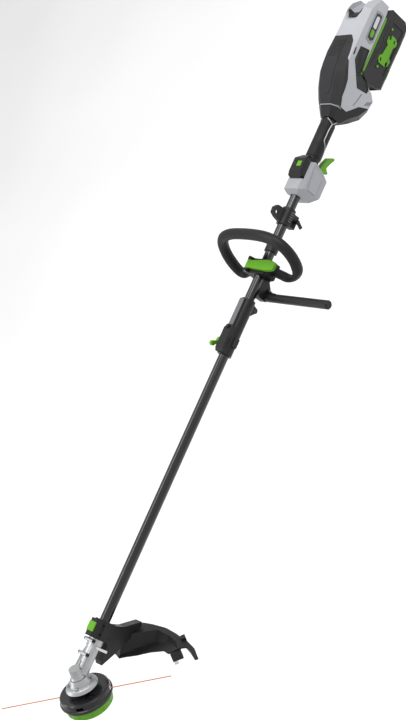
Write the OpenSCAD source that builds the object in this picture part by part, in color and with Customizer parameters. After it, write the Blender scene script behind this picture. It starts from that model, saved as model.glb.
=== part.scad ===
// Battery string trimmer: rear power head, two-part shaft with a coupler,
// loop handle with barrier bar, guard, bevel gearbox and bump-feed line head.
// Millimetres. X runs forward along the shaft, Y to the operator's left, Z up.
// The origin is the centre of the hole in the sling ring.

/* [Shaft] */
// Outside diameter of both shaft tubes
tube_d = 25.4; // [21:0.1:31]
// Wall of both shaft tubes
tube_wall = 1.6; // [1.2:0.1:2.5]
// Distance from the sling ring forward to the split between the tubes
split_x = 302; // [290:1:330]
// Length of the lower tube
lower_tube_len = 825; // [680:1:1000]
// Diameter of the drive shafts
drive_d = 8; // [6.6:0.1:9.6]
// Length of each guide bush inside the tubes
bush_len = 24; // [15:1:40]
// Height of the sling ring hole above the shaft axis
ring_h = 36; // [34:1:48]
// Radius of the sling ring hole
ring_hole_r = 6; // [4:0.5:8]

/* [Power head] */
// Length of the rear housing
head_len = 328; // [300:1:360]
// Width of the rear housing
head_w = 92; // [90:1:112]
// Height of the housing top above the shaft axis
head_top = 75.5; // [72:0.5:90]
// Depth of the motor bulge below the shaft axis
belly_depth = 80; // [76:0.5:96]
// Wall of the housing shells
shell_t = 2.6; // [2:0.1:4]
// Outside diameter of the motor
motor_d = 74; // [60:1:78]
// Length of the motor's stator stack
motor_len = 26; // [18:1:32]

/* [Battery] */
// Length of the battery
battery_len = 198; // [165:1:200]
// Width of the battery
battery_w = 84; // [80:1:88]
// Height of the battery
battery_h = 92; // [84:1:110]
// Diameter of one cell
cell_d = 18.4; // [18:0.1:21]
// Length of one cell
cell_len = 65; // [60:0.5:68]

/* [Grip and throttle] */
// Length of the rear grip
grip_len = 115; // [96:1:138]
// Diameter of the rear grip
grip_d = 40; // [37:0.5:46]
// Length of the throttle housing
throttle_len = 103; // [96:1:124]
// Width of the throttle housing
throttle_w = 64; // [60:1:76]
// Width of the trigger
trigger_w = 16; // [12:0.5:19]

/* [Handles] */
// Distance from the sling ring to the middle of the loop handle clamp
handle_x = 134; // [130:1:150]
// Length of the handle clamp along the shaft
clamp_len = 40; // [34:1:46]
// Diameter of the loop handle's gripping tube
loop_d = 28; // [22:0.5:32]
// Lean of the loop towards the operator
loop_lean = 25; // [15:1:35]
// Scale of the loop about its clamp
loop_scale = 1; // [0.85:0.01:1.2]
// Reach of the barrier bar to the left
bar_reach = 228; // [180:1:280]
// Diameter of the barrier bar
bar_d = 22; // [18:0.5:26]
// Length of the quick-release lever
lever_len = 104; // [88:1:125]

/* [Coupler] */
// Length of the coupler
coupler_len = 150; // [125:1:170]
// Diameter of the coupler body
coupler_d = 36; // [35:0.5:43]
// Span of the clamping knob across its wings
knob_span = 62; // [50:1:74]

/* [Guard] */
// Thickness of the guard
guard_t = 3; // [2.4:0.1:4]
// Scale of the guard's reach from the head axis
guard_scale = 1; // [0.98:0.01:1.15]

/* [Gearbox] */
// Tilt of the line head forward from square to the shaft
head_tilt = 34.3; // [30:0.1:38]
// Radius of the gearbox neck
neck_r = 16; // [15.6:0.1:20]
// Radius of the gearbox flange
flange_r = 35.4; // [32:0.1:42]
// Outer cone distance of the bevel gears
cone_r = 16.5; // [15:0.1:17.5]

/* [Line head] */
// Radius of the head at its upper rim
rim_r = 60.7; // [52:0.1:72]
// Radius of the circle that the line tips cut
cut_r = 213; // [180:1:215]
// Diameter of the cutting line
line_d = 2.4; // [2:0.1:3]
// Travel of the bump knob
bump_travel = 5; // [3:0.5:6]

/* [Fits] */
// Radial clearance of a part that turns or slides on another
run_gap = 0.05; // [0.03:0.01:0.09]
// Clearance between pieces that are fixed together
part_gap = 0.3; // [0.2:0.05:0.5]

/* [Hidden] */
$fn = 48;

tube_r = tube_d / 2;
big = 900;

// Stations along the shaft, measured from the sling ring
throttle_front = -63;
throttle_back = throttle_front - throttle_len;
head_front = throttle_back - grip_len;
head_rear = head_front - head_len;
coupler_x = split_x - coupler_len / 2;
lower_x = split_x + 0.5;
lower_end = lower_x + lower_tube_len;
gear_reach = 80;
head_x = lower_end + gear_reach;
neck_back = lower_end - 17;
bracket_len = 45;
bracket_x = neck_back - bracket_len - 0.5;
collar_x = handle_x - 48;

// Bevel gears: the two axes cross at the head axis, and the wheel lies below the crossing
gear_teeth = 14;
pinion_teeth = 10;
shaft_angle = 90 + head_tilt;
ratio = gear_teeth / pinion_teeth;
pinion_cone = atan2(sin(shaft_angle), ratio + cos(shaft_angle));
gear_cone = shaft_angle - pinion_cone;
pinion_heel = cone_r * cos(pinion_cone);
face_w = 6;

// ---------- helpers ----------

module on_shaft() translate([0, 0, -ring_h]) children();

module at_head() on_shaft() translate([head_x, 0, 0]) rotate([0, -head_tilt, 0]) children();

module rod_x(x, r, len, y = 0, z = 0)
    translate([x, y, z]) rotate([0, 90, 0]) cylinder(r = r, h = len);

module ring_x(x, r, bore, len) difference() {
    rod_x(x, r, len);
    rod_x(x - 1, bore, len + 2);
}

module rod_y(x, y, z, r, len) translate([x, y, z]) rotate([-90, 0, 0]) cylinder(r = r, h = len);

module rod_z(x, y, z, r, len) translate([x, y, z]) cylinder(r = r, h = len);

// Box by its lowest and highest corners
module span(a, b) translate(a) cube(b - a);

// Outline in X and Z, extruded along Y from y0 to y1
module side_plate(points, y0, y1)
    translate([0, y1, 0]) rotate([90, 0, 0]) linear_extrude(y1 - y0) polygon(points);

// Outline in Y and Z, extruded along X from x0 to x1
module cross_bar(points, x0, x1)
    translate([x0, 0, 0]) rotate([90, 0, 90]) linear_extrude(x1 - x0) polygon(points);

function flat(lists) = [for (l = lists) for (p = l) p];

function middle(ring) = [for (p = ring) 1] * ring / len(ring);

function ring_normal(ring) = let (n = len(ring), terms = [for (j = [1 : n - 2])
    cross(ring[j] - ring[0], ring[j + 1] - ring[0])]) [for (t = terms) 1] * terms;

function reversed(list) = [for (j = [len(list) - 1 : -1 : 0]) list[j]];

// Solid through closed rings of points, turned so that its faces look outwards
module loft(chain) {
    ahead = middle(chain[1]) - middle(chain[0]);
    rings = ring_normal(chain[0]) * ahead > 0 ? chain : [for (r = chain) reversed(r)];
    n = len(rings[0]);
    m = len(rings);
    polyhedron(
        points = flat(rings),
        faces = concat(
            [[for (j = [0 : n - 1]) j]],
            [[for (j = [n - 1 : -1 : 0]) (m - 1) * n + j]],
            flat([for (i = [0 : m - 2]) flat([for (j = [0 : n - 1])
                let (k = (j + 1) % n, a = i * n, b = a + n)
                [[a + j, b + k, a + k], [a + j, b + j, b + k]]])])));
}

function unit(v) = v / norm(v);

function direction(path, i) =
    unit(path[min(i + 1, len(path) - 1)] - path[max(i - 1, 0)]);

// Ring of points round a path point: half sizes a along the side and b along up
function path_ring(path, i, side, a, b, n) =
    let (t = direction(path, i), s = unit(side - (side * t) * t), u = cross(t, s))
    [for (k = [0 : n - 1]) path[i] + s * a * cos(360 * k / n) + u * b * sin(360 * k / n)];

// Smooth curve through chosen points, with steps between each pair
function smooth(p, steps) = concat(
    flat([for (i = [0 : len(p) - 2])
        let (a = p[max(i - 1, 0)], b = p[i], c = p[i + 1], d = p[min(i + 2, len(p) - 1)])
        [for (k = [0 : steps - 1]) let (t = k / steps)
            0.5 * (2 * b + (c - a) * t + (2 * a - 5 * b + 4 * c - d) * t * t
                + (3 * b - a - 3 * c + d) * t * t * t)]]),
    [p[len(p) - 1]]);

// ---------- power head ----------

head_half = head_w / 2;
battery_half = battery_w / 2;
battery_top = 5;
battery_floor = battery_top - battery_h;
battery_x = head_rear + 4 - 6;      // rear face, slightly proud of the housing
battery_front = battery_x + battery_len;
bay_top = battery_top + 1;

// Rings of the rear housing: distance behind its front face, half width, top, bottom,
// half width of the flat top, shoulder height, half width of the flat bottom, height
// where the side turns under
head_stations = [
    [0, head_half - 25, head_top - 54.5, 58 - belly_depth, 12, head_top - 62, 12, 66 - belly_depth],
    [18, head_half - 15, head_top - 47, 36 - belly_depth, 16, head_top - 58, 16, 56 - belly_depth],
    [45, head_half - 6, head_top - 30, 10 - belly_depth, 20, head_top - 46, 20, 32 - belly_depth],
    [72, head_half - 1, head_top - 17, 2 - belly_depth, 24, head_top - 34, 26, 18 - belly_depth],
    [95, head_half, head_top - 9, -belly_depth, 27, head_top - 25, 28, 14 - belly_depth],
    [110, head_half, head_top - 4, 16 - belly_depth, 28, head_top - 19, 28, 30 - belly_depth],
    [130, head_half, head_top - 2, bay_top, 29, head_top - 16, 36, bay_top + 2],
    [158, head_half, head_top, bay_top, 29, head_top - 14, 43, bay_top + 3],
    [200, head_half, head_top - 2, bay_top, 28, head_top - 16, 43, bay_top + 3],
    [245, head_half - 1, head_top - 3.5, bay_top, 27, head_top - 17, 43, bay_top + 3],
    [286, head_half, head_top - 3, bay_top, 29, head_top - 16, 43, bay_top + 3],
    [306, head_half - 1, head_top - 10, bay_top, 30, head_top - 24, 42, bay_top + 3],
    [328, head_half - 5, head_top - 30, bay_top, 31, head_top - 38, 38, bay_top + 4]];

function head_ring(s, inset, ends) =
    let (x = head_front - s[0] * head_len / 328 + ends, w = s[1] - inset, t = s[2] - inset,
        b = s[3] + inset, e = 0.4 * inset)
    [[x, -s[4] + e, t], [x, -w, s[5] - e], [x, -w, s[7] + e], [x, -s[6] + e, b],
     [x, s[6] - e, b], [x, w, s[7] + e], [x, w, s[5] - e], [x, s[4] - e, t]];

// Solid of the housing, drawn in by an inset on every side
module head_solid(inset)
    loft([for (k = [0 : len(head_stations) - 1])
        head_ring(head_stations[k], inset,
            k == 0 ? -inset : (k == len(head_stations) - 1 ? inset : 0))]);

// Outline in X and Z given as distance behind the front face and height
module head_zone(points, y0, y1)
    side_plate([for (p = points) [head_front - p[0], p[1]]], y0, y1);

pad_zone = [[31, 14], [51, 28], [94, 37.5], [141, 63], [190, 66.5], [203, 71], [208, 90], [21, 90]];
boot_zone = [[-5, 90], [21 - part_gap, 90], [31 - part_gap, 14], [31 - part_gap, -8], [60, -33], [74, -66],
    [76, -120], [-5, -120]];
vent_zone = [[187, 44], [195, 14], [140, 9], [124, -20], [110, -36], [101, -34], [95, 0], [150, 44]];

vent_middle = [130, 10];
valley_tilt = 33;
release_travel = 3;

// Trough for the thumb at the rear of the housing top
module valley(wide, drop, ahead = 0) translate([head_front - 252, 0, head_top - drop])
    rotate([0, -valley_tilt, 0])
    cross_bar([[-wide, 70], [-wide, 12], [-wide + 11, 0], [wide - 11, 0], [wide, 12], [wide, 70]],
        -120, ahead);

module head_shell() difference() {
    union() {
        difference() {
            head_solid(0);
            head_solid(shell_t);
        }
        intersection() {
            head_solid(0);
            valley(27 + shell_t, 1 + release_travel + shell_t, 4);
        }
    }
    rod_x(head_front - 30, tube_r + part_gap, 60);
    valley(27, 1 + release_travel, 2.2);
    head_zone(pad_zone, -big, big);
    head_zone(boot_zone, -big, big);
    for (s = [-1, 1]) head_zone(vent_zone, s > 0 ? 24 : -big, s > 0 ? big : -24);
    // The battery's connector reaches through the rear wall of the bulge
    span([head_front - 140, -24, -34], [head_front - 100, 24, -4]);
}

module motor_cover_left() color("silver") on_shaft() intersection() {
    head_shell();
    span([-big, 0.05, -big], [big, big, big]);
}

module motor_cover_right() color("silver") on_shaft() intersection() {
    head_shell();
    span([-big, -big, -big], [big, -0.05, big]);
}

module top_pad() color("#3b3c3e") on_shaft() intersection() {
    difference() {
        head_solid(0);
        head_solid(shell_t);
    }
    head_zone([for (p = pad_zone) p + [p[0] < 50 ? part_gap : 0, p[1] < 80 ? part_gap : 0]],
        -big, big);
    span([head_front - 207.5, -big, -big], [big, big, big]);
}

module front_boot() color("#232426") on_shaft() difference() {
    intersection() {
        head_solid(0);
        head_zone([for (p = boot_zone) p[0] > 40 ? p - [0.4, 0.4] : p], -big, big);
    }
    head_solid(shell_t);
    rod_x(head_front - 30, tube_r + part_gap, 60);
}

module vent_grilles() color("#1c1c1e") on_shaft() difference() {
    intersection() {
        head_solid(0.4);
        union() for (s = [-1, 1])
            head_zone([for (p = vent_zone) vent_middle + (p - vent_middle) * 0.985],
                s > 0 ? 24.3 : -big, s > 0 ? big : -24.3);
    }
    head_solid(shell_t);
    for (k = [0 : 12]) translate([head_front - 128 - 4.6 * k, -big, 6 + 2.1 * k])
        rotate([0, 25, 0]) cube([1.1, 2 * big, 16]);
}

module release_button() color("#2a2a2c") on_shaft() intersection() {
    difference() {
        valley(26.5, 0.5);
        valley(23.5, -3);
        valley(60, 60);
    }
    translate([0, 0, -release_travel - 0.6]) head_solid(-0.6);
    span([head_rear + 1, -big, -big], [big, big, big]);
}

motor_x = head_front - 68;          // middle of the motor
motor_r = motor_d / 2;
hub_r = drive_d / 2 + 6;

module motor_stator() color("#8a4b2a") on_shaft() difference() {
    union() {
        rod_x(motor_x - motor_len / 2, hub_r + 7, motor_len);
        for (k = [0 : 11]) rotate([30 * k, 0, 0])
            span([motor_x - motor_len / 2, -3, hub_r + 6], [motor_x + motor_len / 2, 3, motor_r - 8]);
        for (k = [0 : 11]) rotate([30 * k, 0, 0])
            span([motor_x - motor_len / 2, -5.5, motor_r - 10.6],
                [motor_x + motor_len / 2, 5.5, motor_r - 8.4]);
    }
    rod_x(motor_x - motor_len, hub_r + 0.6, 2 * motor_len);
}

rotor_back = motor_x - motor_len / 2 - 6;

module motor_rotor() color("#6d7075") on_shaft() difference() {
    union() {
        difference() {
            rod_x(rotor_back, motor_r, motor_len + 9);
            rod_x(rotor_back + 4, motor_r - 6, motor_len + 9);
        }
        rod_x(rotor_back, hub_r, motor_len + 9);
    }
    rod_x(rotor_back - 1, drive_d / 2 + part_gap / 2, motor_len + 12);
}

front_bearing_x = motor_x + motor_len / 2 + 22;
rear_bearing_x = rotor_back - 20;

module bearing(x, r, bore, wide) difference() {
    rod_x(x, r, wide);
    rod_x(x - 1, bore, wide + 2);
    difference() {
        rod_x(x - 1, r * 0.82, wide + 2);
        rod_x(x - 2, bore + (r - bore) * 0.3, wide + 4);
        rod_x(x + 1, big / 10, wide - 2);
    }
}

module motor_bearings() color("#b9bcc0") on_shaft() {
    bearing(front_bearing_x, 9.5, drive_d / 2 + run_gap, 7);
    bearing(rear_bearing_x, 9.5, drive_d / 2 + run_gap, 7);
}

fan_x = motor_x + motor_len / 2 + 8;

module cooling_fan() color("#2e2f31") on_shaft() difference() {
    union() {
        rod_x(fan_x, hub_r, 10);
        rod_x(fan_x, motor_r - 8, 2);
        for (k = [0 : 8]) rotate([40 * k, 0, 0])
            span([fan_x, -0.8, hub_r - 1], [fan_x + 10, 0.8, motor_r - 8.5]);
    }
    rod_x(fan_x - 1, drive_d / 2 + part_gap / 2, 12);
}

module control_board() color("#1f6b3a") on_shaft() {
    span([head_front - 240, -36, 22], [head_front - 140, 36, 23.6]);
    for (k = [0 : 2]) rod_z(head_front - 160 - 22 * k, 20, 23.7, 7, 24);
    span([head_front - 232, -30, 23.7], [head_front - 150, -6, 34]);
    span([head_front - 200, -4, 23.7], [head_front - 180, 8, 30]);
}

terminal_x = battery_front + 1;

module battery_terminals() color("#3a3a3d") on_shaft() {
    difference() {
        span([terminal_x, -23, -33], [terminal_x + 14, 23, -5]);
        span([terminal_x - 1, -20, -30], [terminal_x + 3, 20, -8]);
    }
    for (y = [-15 : 10 : 15]) span([terminal_x - 12, y - 0.5, -25], [terminal_x + 2.9, y + 0.5, -13]);
}

// ---------- battery ----------

battery_section = [[-battery_half + 5, battery_top], [battery_half - 5, battery_top],
    [battery_half, battery_top - 5], [battery_half, battery_floor + 13],
    [battery_half - 11, battery_floor], [11 - battery_half, battery_floor],
    [-battery_half, battery_floor + 13], [-battery_half, battery_top - 5]];

battery_side = [[battery_x, battery_top - 12], [battery_x + 10, battery_top],
    [battery_front, battery_top], [battery_front, battery_floor + 26],
    [battery_front - 12, battery_floor], [battery_x + 22, battery_floor],
    [battery_x, battery_floor + 26]];

case_t = 2.4;

module battery_case() color("#333436") on_shaft() difference() {
    intersection() {
        cross_bar(battery_section, battery_x, battery_front);
        side_plate(battery_side, -battery_half, battery_half);
    }
    side_plate([[battery_x + 5, battery_top - 14], [battery_x + 12, battery_top - 5],
        [battery_front - 20, battery_top - 5], [battery_front - 20, battery_floor + 5],
        [battery_x + 24, battery_floor + 5], [battery_x + 5, battery_floor + 27.5]],
        -cell_len / 2 - 1.5, cell_len / 2 + 1.5);
    // Connector slots in the front face
    for (k = [-1.5 : 1 : 1.5])
        span([battery_front - 16, 10 * k - 1.5, -28], [battery_front + 1, 10 * k + 1.5, -10]);
    // Hollow of the front end
    span([battery_front - 12, -34, battery_floor + 8], [battery_front + 1, 34, -36]);
    for (s = [-1, 1]) {
        // Seats of the green side plates and seam strips
        translate([0, s > 0 ? battery_half - 2.2 : -battery_half - 2, 0])
            span([battery_x + 26, 0, plate_low - 0.5], [battery_x + 160, 4.2, plate_high + 0.5]);
        translate([0, s > 0 ? battery_half - 2.4 : -battery_half - 2.6, 0])
            span([battery_x + 30, 0, battery_top - 6], [battery_front + 1, 5, battery_top + 1]);
    }
}

plate_high = battery_top - 31;
plate_low = battery_top - 71;

// Bone-shaped side plate: two wide ends joined by a slanting web
module side_bone(y) translate([0, y + 2, 0]) rotate([90, 0, 0]) linear_extrude(2) difference() {
    translate([battery_x, 0]) polygon([[132, plate_high - 1], [121, plate_high], [113, plate_high - 8],
        [84, plate_high - 12], [77, plate_high - 4], [64, plate_high - 4], [55, plate_high - 13],
        [55, plate_low + 13], [62, plate_low + 2], [72, plate_low + 1], [82, plate_low + 8],
        [108, plate_low + 7], [116, plate_low - 1], [130, plate_low + 1], [137, plate_low + 9],
        [138, plate_high - 8]]);
    for (p = [[64, plate_high - 12], [66, plate_low + 11], [128, plate_high - 9], [129, plate_low + 9]])
        translate([battery_x + p[0], p[1]]) rotate(-15) square([9, 5], center = true);
}

module battery_trim() color("#76c21f") on_shaft() for (s = [-1, 1]) {
    side_bone(s > 0 ? battery_half - 2 : -battery_half);
    span([battery_x + 30.5, s > 0 ? battery_half - 2 : -battery_half, battery_top - 5.5],
        [battery_front - 0.5, s > 0 ? battery_half : 2 - battery_half, battery_top]);
}

// Three rows of cells: a full one between two that are a cell shorter
cell_step = cell_d + 0.3;
cell_count = floor((battery_len - 25) / cell_step);
cell_start = battery_x + 5 + (battery_len - 25 - (cell_count - 1) * cell_step) / 2;

module battery_cells() color("#3f6fa8") on_shaft()
    for (row = [-1 : 1], k = [0 : cell_count - 1 - abs(row)])
        rod_y(cell_start + (k + abs(row) / 2) * cell_step, -cell_len / 2,
            battery_floor + 42.4 + row * (cell_d + 4), cell_d / 2, cell_len);

// ---------- grip and throttle ----------

grip_r = grip_d / 2;
grip_nose = 18;                     // how far the grip reaches into the throttle housing

module grip_sleeve() color("#2b2b2d") on_shaft() difference() {
    union() {
        rod_x(head_front + 0.5, grip_r - 1.5, grip_len + grip_nose - 1);
        rod_x(head_front + 12, grip_r, grip_len - 20);
    }
    rod_x(head_front - 1, tube_r + part_gap / 2, grip_len + grip_nose + 2);
}

throttle_half = throttle_w / 2;
throttle_up = 25;
throttle_down = 50;
trigger_x = throttle_back + 34;
trigger_z = -tube_r - 17.3;
panel_half = 26;
panel_front = throttle_front - 38;

// Outlines of the throttle housing from the side, from the front and from above
throttle_side = [[throttle_back + 12, 10], [throttle_back + 18, throttle_up],
    [throttle_front - 9, throttle_up], [throttle_front, throttle_up - 12],
    [throttle_front, -32], [throttle_front - 26, -throttle_down],
    [throttle_back + 36, -throttle_down], [throttle_back + 22, -24]];
throttle_section = [[-throttle_half + 8, throttle_up], [throttle_half - 8, throttle_up],
    [throttle_half, throttle_up - 13], [throttle_half, 4 - throttle_down],
    [throttle_half - 4, -throttle_down],
    [-throttle_half + 4, -throttle_down], [-throttle_half, 4 - throttle_down],
    [-throttle_half, throttle_up - 13]];
throttle_plan = [[throttle_back, -throttle_half], [throttle_front - 17, -throttle_half],
    [throttle_front, -19], [throttle_front, 19], [throttle_front - 17, throttle_half],
    [throttle_back, throttle_half]];
throttle_mid = [(throttle_back + throttle_front) / 2, (throttle_up - throttle_down) / 2];

function drawn_in(points, middle, k) = [for (p = points) middle + (p - middle) * k];

module throttle_form(k) intersection() {
    side_plate(drawn_in(throttle_side, throttle_mid, k), -throttle_half * k, throttle_half * k);
    cross_bar(drawn_in(throttle_section, [0, throttle_mid[1]], k), throttle_back, throttle_front);
    translate([0, 0, -big / 2]) linear_extrude(big)
        polygon(drawn_in(throttle_plan, [throttle_mid[0], 0], k));
}

module throttle_shell() difference() {
    throttle_form(1);
    throttle_form(0.9);
    rod_x(throttle_back - 20, tube_r + part_gap / 2, throttle_len + 40);
    rod_x(throttle_back - 40, grip_r - 1.2, grip_nose + 39.9);
    // Mouth for the trigger and recess for the control panel
    span([throttle_back, -trigger_w / 2 - 1, 5 - throttle_down],
        [trigger_x + 8, trigger_w / 2 + 1, -tube_r - 7]);
    span([throttle_back - 1, -panel_half - part_gap, 14],
        [panel_front + part_gap, panel_half + part_gap, throttle_up + 10]);
    rod_y(trigger_x, -throttle_half - 1, trigger_z, 2 + part_gap / 3, throttle_w + 2);
}

// Raised panel on the housing's side
module side_panel(s) side_plate([[throttle_back + 18.5, 5], [throttle_back + 24, 9],
    [throttle_front - 19, 1], [throttle_front - 18.5, -28], [throttle_front - 24, -31],
    [throttle_back + 29, -28]], s > 0 ? throttle_half - 0.2 : -throttle_half - 1.5,
    s > 0 ? throttle_half + 1.5 : 0.2 - throttle_half);

module throttle_housing_left() color("#9b9da1") on_shaft() {
    intersection() {
        throttle_shell();
        span([-big, 0.05, -big], [big, big, big]);
    }
    side_panel(1);
}

module throttle_housing_right() color("#9b9da1") on_shaft() {
    intersection() {
        throttle_shell();
        span([-big, -big, -big], [big, -0.05, big]);
    }
    side_panel(-1);
}

panel_top = throttle_up + 13;
button_travel = 1.2;
key_floor = panel_top - 3 - button_travel - 0.8;

module control_panel() color("#222325") on_shaft() difference() {
    intersection() {
        side_plate([[throttle_back - 4, 14.3], [throttle_back - 2, 24], [throttle_back + 14, panel_top],
            [panel_front - 14, panel_top], [panel_front, throttle_up + 3], [panel_front, 14.3]],
            -panel_half, panel_half);
        cross_bar([[-panel_half, 14.3], [-panel_half, 27], [-panel_half + 7, panel_top],
            [panel_half - 7, panel_top], [panel_half, 27], [panel_half, 14.3]],
            throttle_back - 4, panel_front);
        translate([0, 0, -big / 2]) linear_extrude(big) polygon([[throttle_back - 4, -9],
            [throttle_back + 20, -panel_half], [panel_front - 8, -panel_half],
            [panel_front, 8 - panel_half], [panel_front, panel_half - 8],
            [panel_front - 8, panel_half], [throttle_back + 20, panel_half],
            [throttle_back - 4, 9]]);
    }
    rod_x(throttle_back - 40, tube_r + 3.2, 120);
    rod_x(throttle_back - 40, grip_r - 1.2, grip_nose + 39.9);
    key_bay(power_y, 0.4);
    key_bay(speed_y, 0.4);
}

// Room of one key in the control panel: its two edges across, drawn out by a gap
power_y = [-1, 14];
speed_y = [-16, -4];

module key_bay(y, gap)
    span([throttle_back + 23 - gap, y[0] - gap, gap > 0 ? key_floor : panel_top - 3],
        [throttle_back + 37.5 + gap, y[1] + gap, panel_top + 1]);

module power_button() color("#7fd03a") on_shaft() key_bay(power_y, 0);

module speed_button() color("#4a4c4f") on_shaft() key_bay(speed_y, 0);

// Side outline of the trigger from its pivot: upper edge, tip, hook and lower edge
trigger_outline = [[4, 4], [-18, 1.5], [-36, -1], [-55, -8], [-66, -12.5], [-73, -24], [-73.5, -29],
    [-70, -31], [-58, -24.5], [-40, -17], [-34, -22], [-31, -27.5], [-26.5, -26], [-26, -18],
    [-18, -10], [-3, -6], [10, -4], [9, 1]];

module trigger() color("#6fbf25") on_shaft() difference() {
    union() {
        side_plate([for (p = trigger_outline) p + [trigger_x, trigger_z]], -trigger_w / 2, trigger_w / 2);
        rod_y(trigger_x, -trigger_w / 2, trigger_z, 5.5, trigger_w);
    }
    rod_y(trigger_x, -trigger_w / 2 - 1, trigger_z, 2 + run_gap, trigger_w + 2);
}

module trigger_pin() color("#c8cacc") on_shaft()
    rod_y(trigger_x, -throttle_half + 0.5, trigger_z, 2, throttle_w - 1);

module trigger_switch() color("#1d1d1f") on_shaft() {
    span([trigger_x + 4, -6, trigger_z - 15], [trigger_x + 24, 6, trigger_z - 8.4]);
    rod_z(trigger_x + 8, 0, trigger_z - 8.6, 1.4, 1.2);
}

// ---------- upper shaft ----------

tube_back = head_front - 24;

module upper_tube() color("#1a1a1c") on_shaft()
    ring_x(tube_back, tube_r, tube_r - tube_wall, split_x - 0.5 - tube_back);

socket_len = 26;
square = drive_d * 0.62;
drive_split = split_x + 8;

module upper_drive_shaft() color("#a5a8ac") on_shaft() difference() {
    union() {
        rod_x(rear_bearing_x - 4, drive_d / 2, drive_split - rear_bearing_x + 4 - socket_len);
        rod_x(drive_split - socket_len - 6, drive_d / 2 + 3, socket_len + 6);
    }
    span([drive_split - socket_len, -square / 2 - 0.2, -square / 2 - 0.2],
        [drive_split + 1, square / 2 + 0.2, square / 2 + 0.2]);
}

module bushes(x0, x1, count) for (k = [0 : count - 1])
    ring_x(x0 + (x1 - x0) * k / (count - 1), tube_r - tube_wall - 0.1, drive_d / 2 + run_gap, bush_len);

module upper_bushes() color("#d9d6c8") on_shaft() bushes(-250, split_x - 90, 3);

hanger_back = -26;
hanger_len = 45;
hanger_r = tube_r + 4.5;
screw_x = hanger_back + hanger_len / 2;
screw_z = -tube_r - 11;

module hanger_bracket() color("#242527") on_shaft() difference() {
    union() {
        rod_x(hanger_back, hanger_r, hanger_len);
        // Plate that carries the ring
        side_plate([[hanger_back + 6, 8], [hanger_back + 10, ring_h + 6], [-6, ring_h + 14],
            [8, ring_h + 13], [14, ring_h], [19, 8]], -5, 5);
        // Split ears under the tube
        span([hanger_back + 5, -9, screw_z - 8], [19 - 5, 9, -tube_r]);
        for (s = [-1, 1]) for (k = [0 : 4])
            span([hanger_back + 8 + 6 * k, s > 0 ? hanger_r - 1.2 : -hanger_r - 0.8, -7],
                [hanger_back + 11 + 6 * k, s > 0 ? hanger_r + 0.8 : 1.2 - hanger_r, 7]);
    }
    rod_x(hanger_back - 1, tube_r + 0.02, hanger_len + 2);
    rod_y(0, -6, ring_h, ring_hole_r, 12);
    span([hanger_back, -1.2, -60], [20, 1.2, 0]);
    rod_y(screw_x, -10, screw_z, 3 + run_gap, 20);
}

module hanger_wing_screw() color("#1f2022") on_shaft() {
    wing_y = hanger_r + 1.6;
    rod_y(screw_x, -13, screw_z, 3, wing_y + 14);
    rod_y(screw_x, -13, screw_z, 6, 3.5);
    rod_y(screw_x, 9.5, screw_z, 5, wing_y - 5);
    translate([screw_x, wing_y, screw_z]) rotate([0, -25, 0]) span([-4, 0, -18], [4, 5, 5]);
}

module stop_collar() color("#26272a") on_shaft() difference() {
    union() {
        rod_x(collar_x - 9, tube_r + 4, 18);
        rotate([-35, 0, 0]) span([collar_x - 6, -6, -tube_r - 12], [collar_x + 6, 6, -tube_r]);
    }
    rod_x(collar_x - 10, tube_r + 0.02, 20);
    rotate([-35, 0, 0]) span([collar_x - 10, -0.8, -60], [collar_x + 10, 0.8, 0]);
    rotate([-35, 0, 0]) rod_y(collar_x, -10, -tube_r - 7.5, 2.1, 20);
}

// ---------- loop handle, clamp and barrier bar ----------

clamp_x = handle_x + 7;
clamp_back = clamp_x - clamp_len / 2;
clamp_front = clamp_x + clamp_len / 2;
clamp_half = tube_r + 17;

// Centre line of the loop in its own plane: to the left, and up
loop_points = [[-clamp_half + 2, -12], [-62, -24], [-84, -31], [-102, -25], [-114, -6], [-121, 24],
    [-117, 58],
    [-98, 83], [-62, 95], [-15, 98], [30, 97], [66, 92], [99, 78], [118, 54], [125, 25],
    [119, -4], [99, -24], [74, -30], [52, -22], [clamp_half - 2, -12]];

loop_path = smooth([for (p = loop_points)
    let (v = p[1] * loop_scale) [handle_x - v * sin(loop_lean),
        abs(p[0]) < 40 ? p[0] : p[0] * loop_scale, v * cos(loop_lean)]], 3);

lever_low = tube_r + 5.3;             // underside of the lever, just above the clamp
loop_side = [cos(loop_lean), 0, sin(loop_lean)];

// Half thickness of the loop across its plane falls to a flat band at the clamp
function loop_half(i) = let (n = len(loop_path) - 1, k = min(i, n - i))
    k < 8 ? 5 : (k < 13 ? 5 + (loop_d / 2 - 5) * (k - 7) / 6 : loop_d / 2);

module loop_handle() color("#2d2e30") on_shaft() {
    loft([for (i = [len(loop_path) - 1 : -1 : 0])
        path_ring(loop_path, i, loop_side, loop_d / 2, loop_half(i), 16)]);
    difference() {
        union() {
            span([clamp_back, -clamp_half, 0.4], [clamp_front, clamp_half, tube_r + 4.4]);
            span([clamp_back, -clamp_half - 10, -20], [clamp_front, -clamp_half + 4, tube_r]);
            span([clamp_back, clamp_half - 4, -20], [clamp_front, clamp_half + 4, tube_r + 3]);
            // Ears of the quick-release lever
            for (x = [clamp_back, clamp_front - ear_w]) {
                span([x, -clamp_half - 10, tube_r - 3], [x + ear_w, -clamp_half + 5, pin_z - 2]);
                rod_x(x, 6.2, ear_w, pin_y, pin_z);
            }
        }
        rod_x(clamp_back - 1, tube_r + run_gap, clamp_len + 2);
        rod_x(clamp_back - 1, 2.5 + part_gap / 3, clamp_len + 2, pin_y, pin_z);
    }
}

pin_y = -clamp_half - 3;
pin_z = tube_r + 10;
ear_w = 8;

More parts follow.
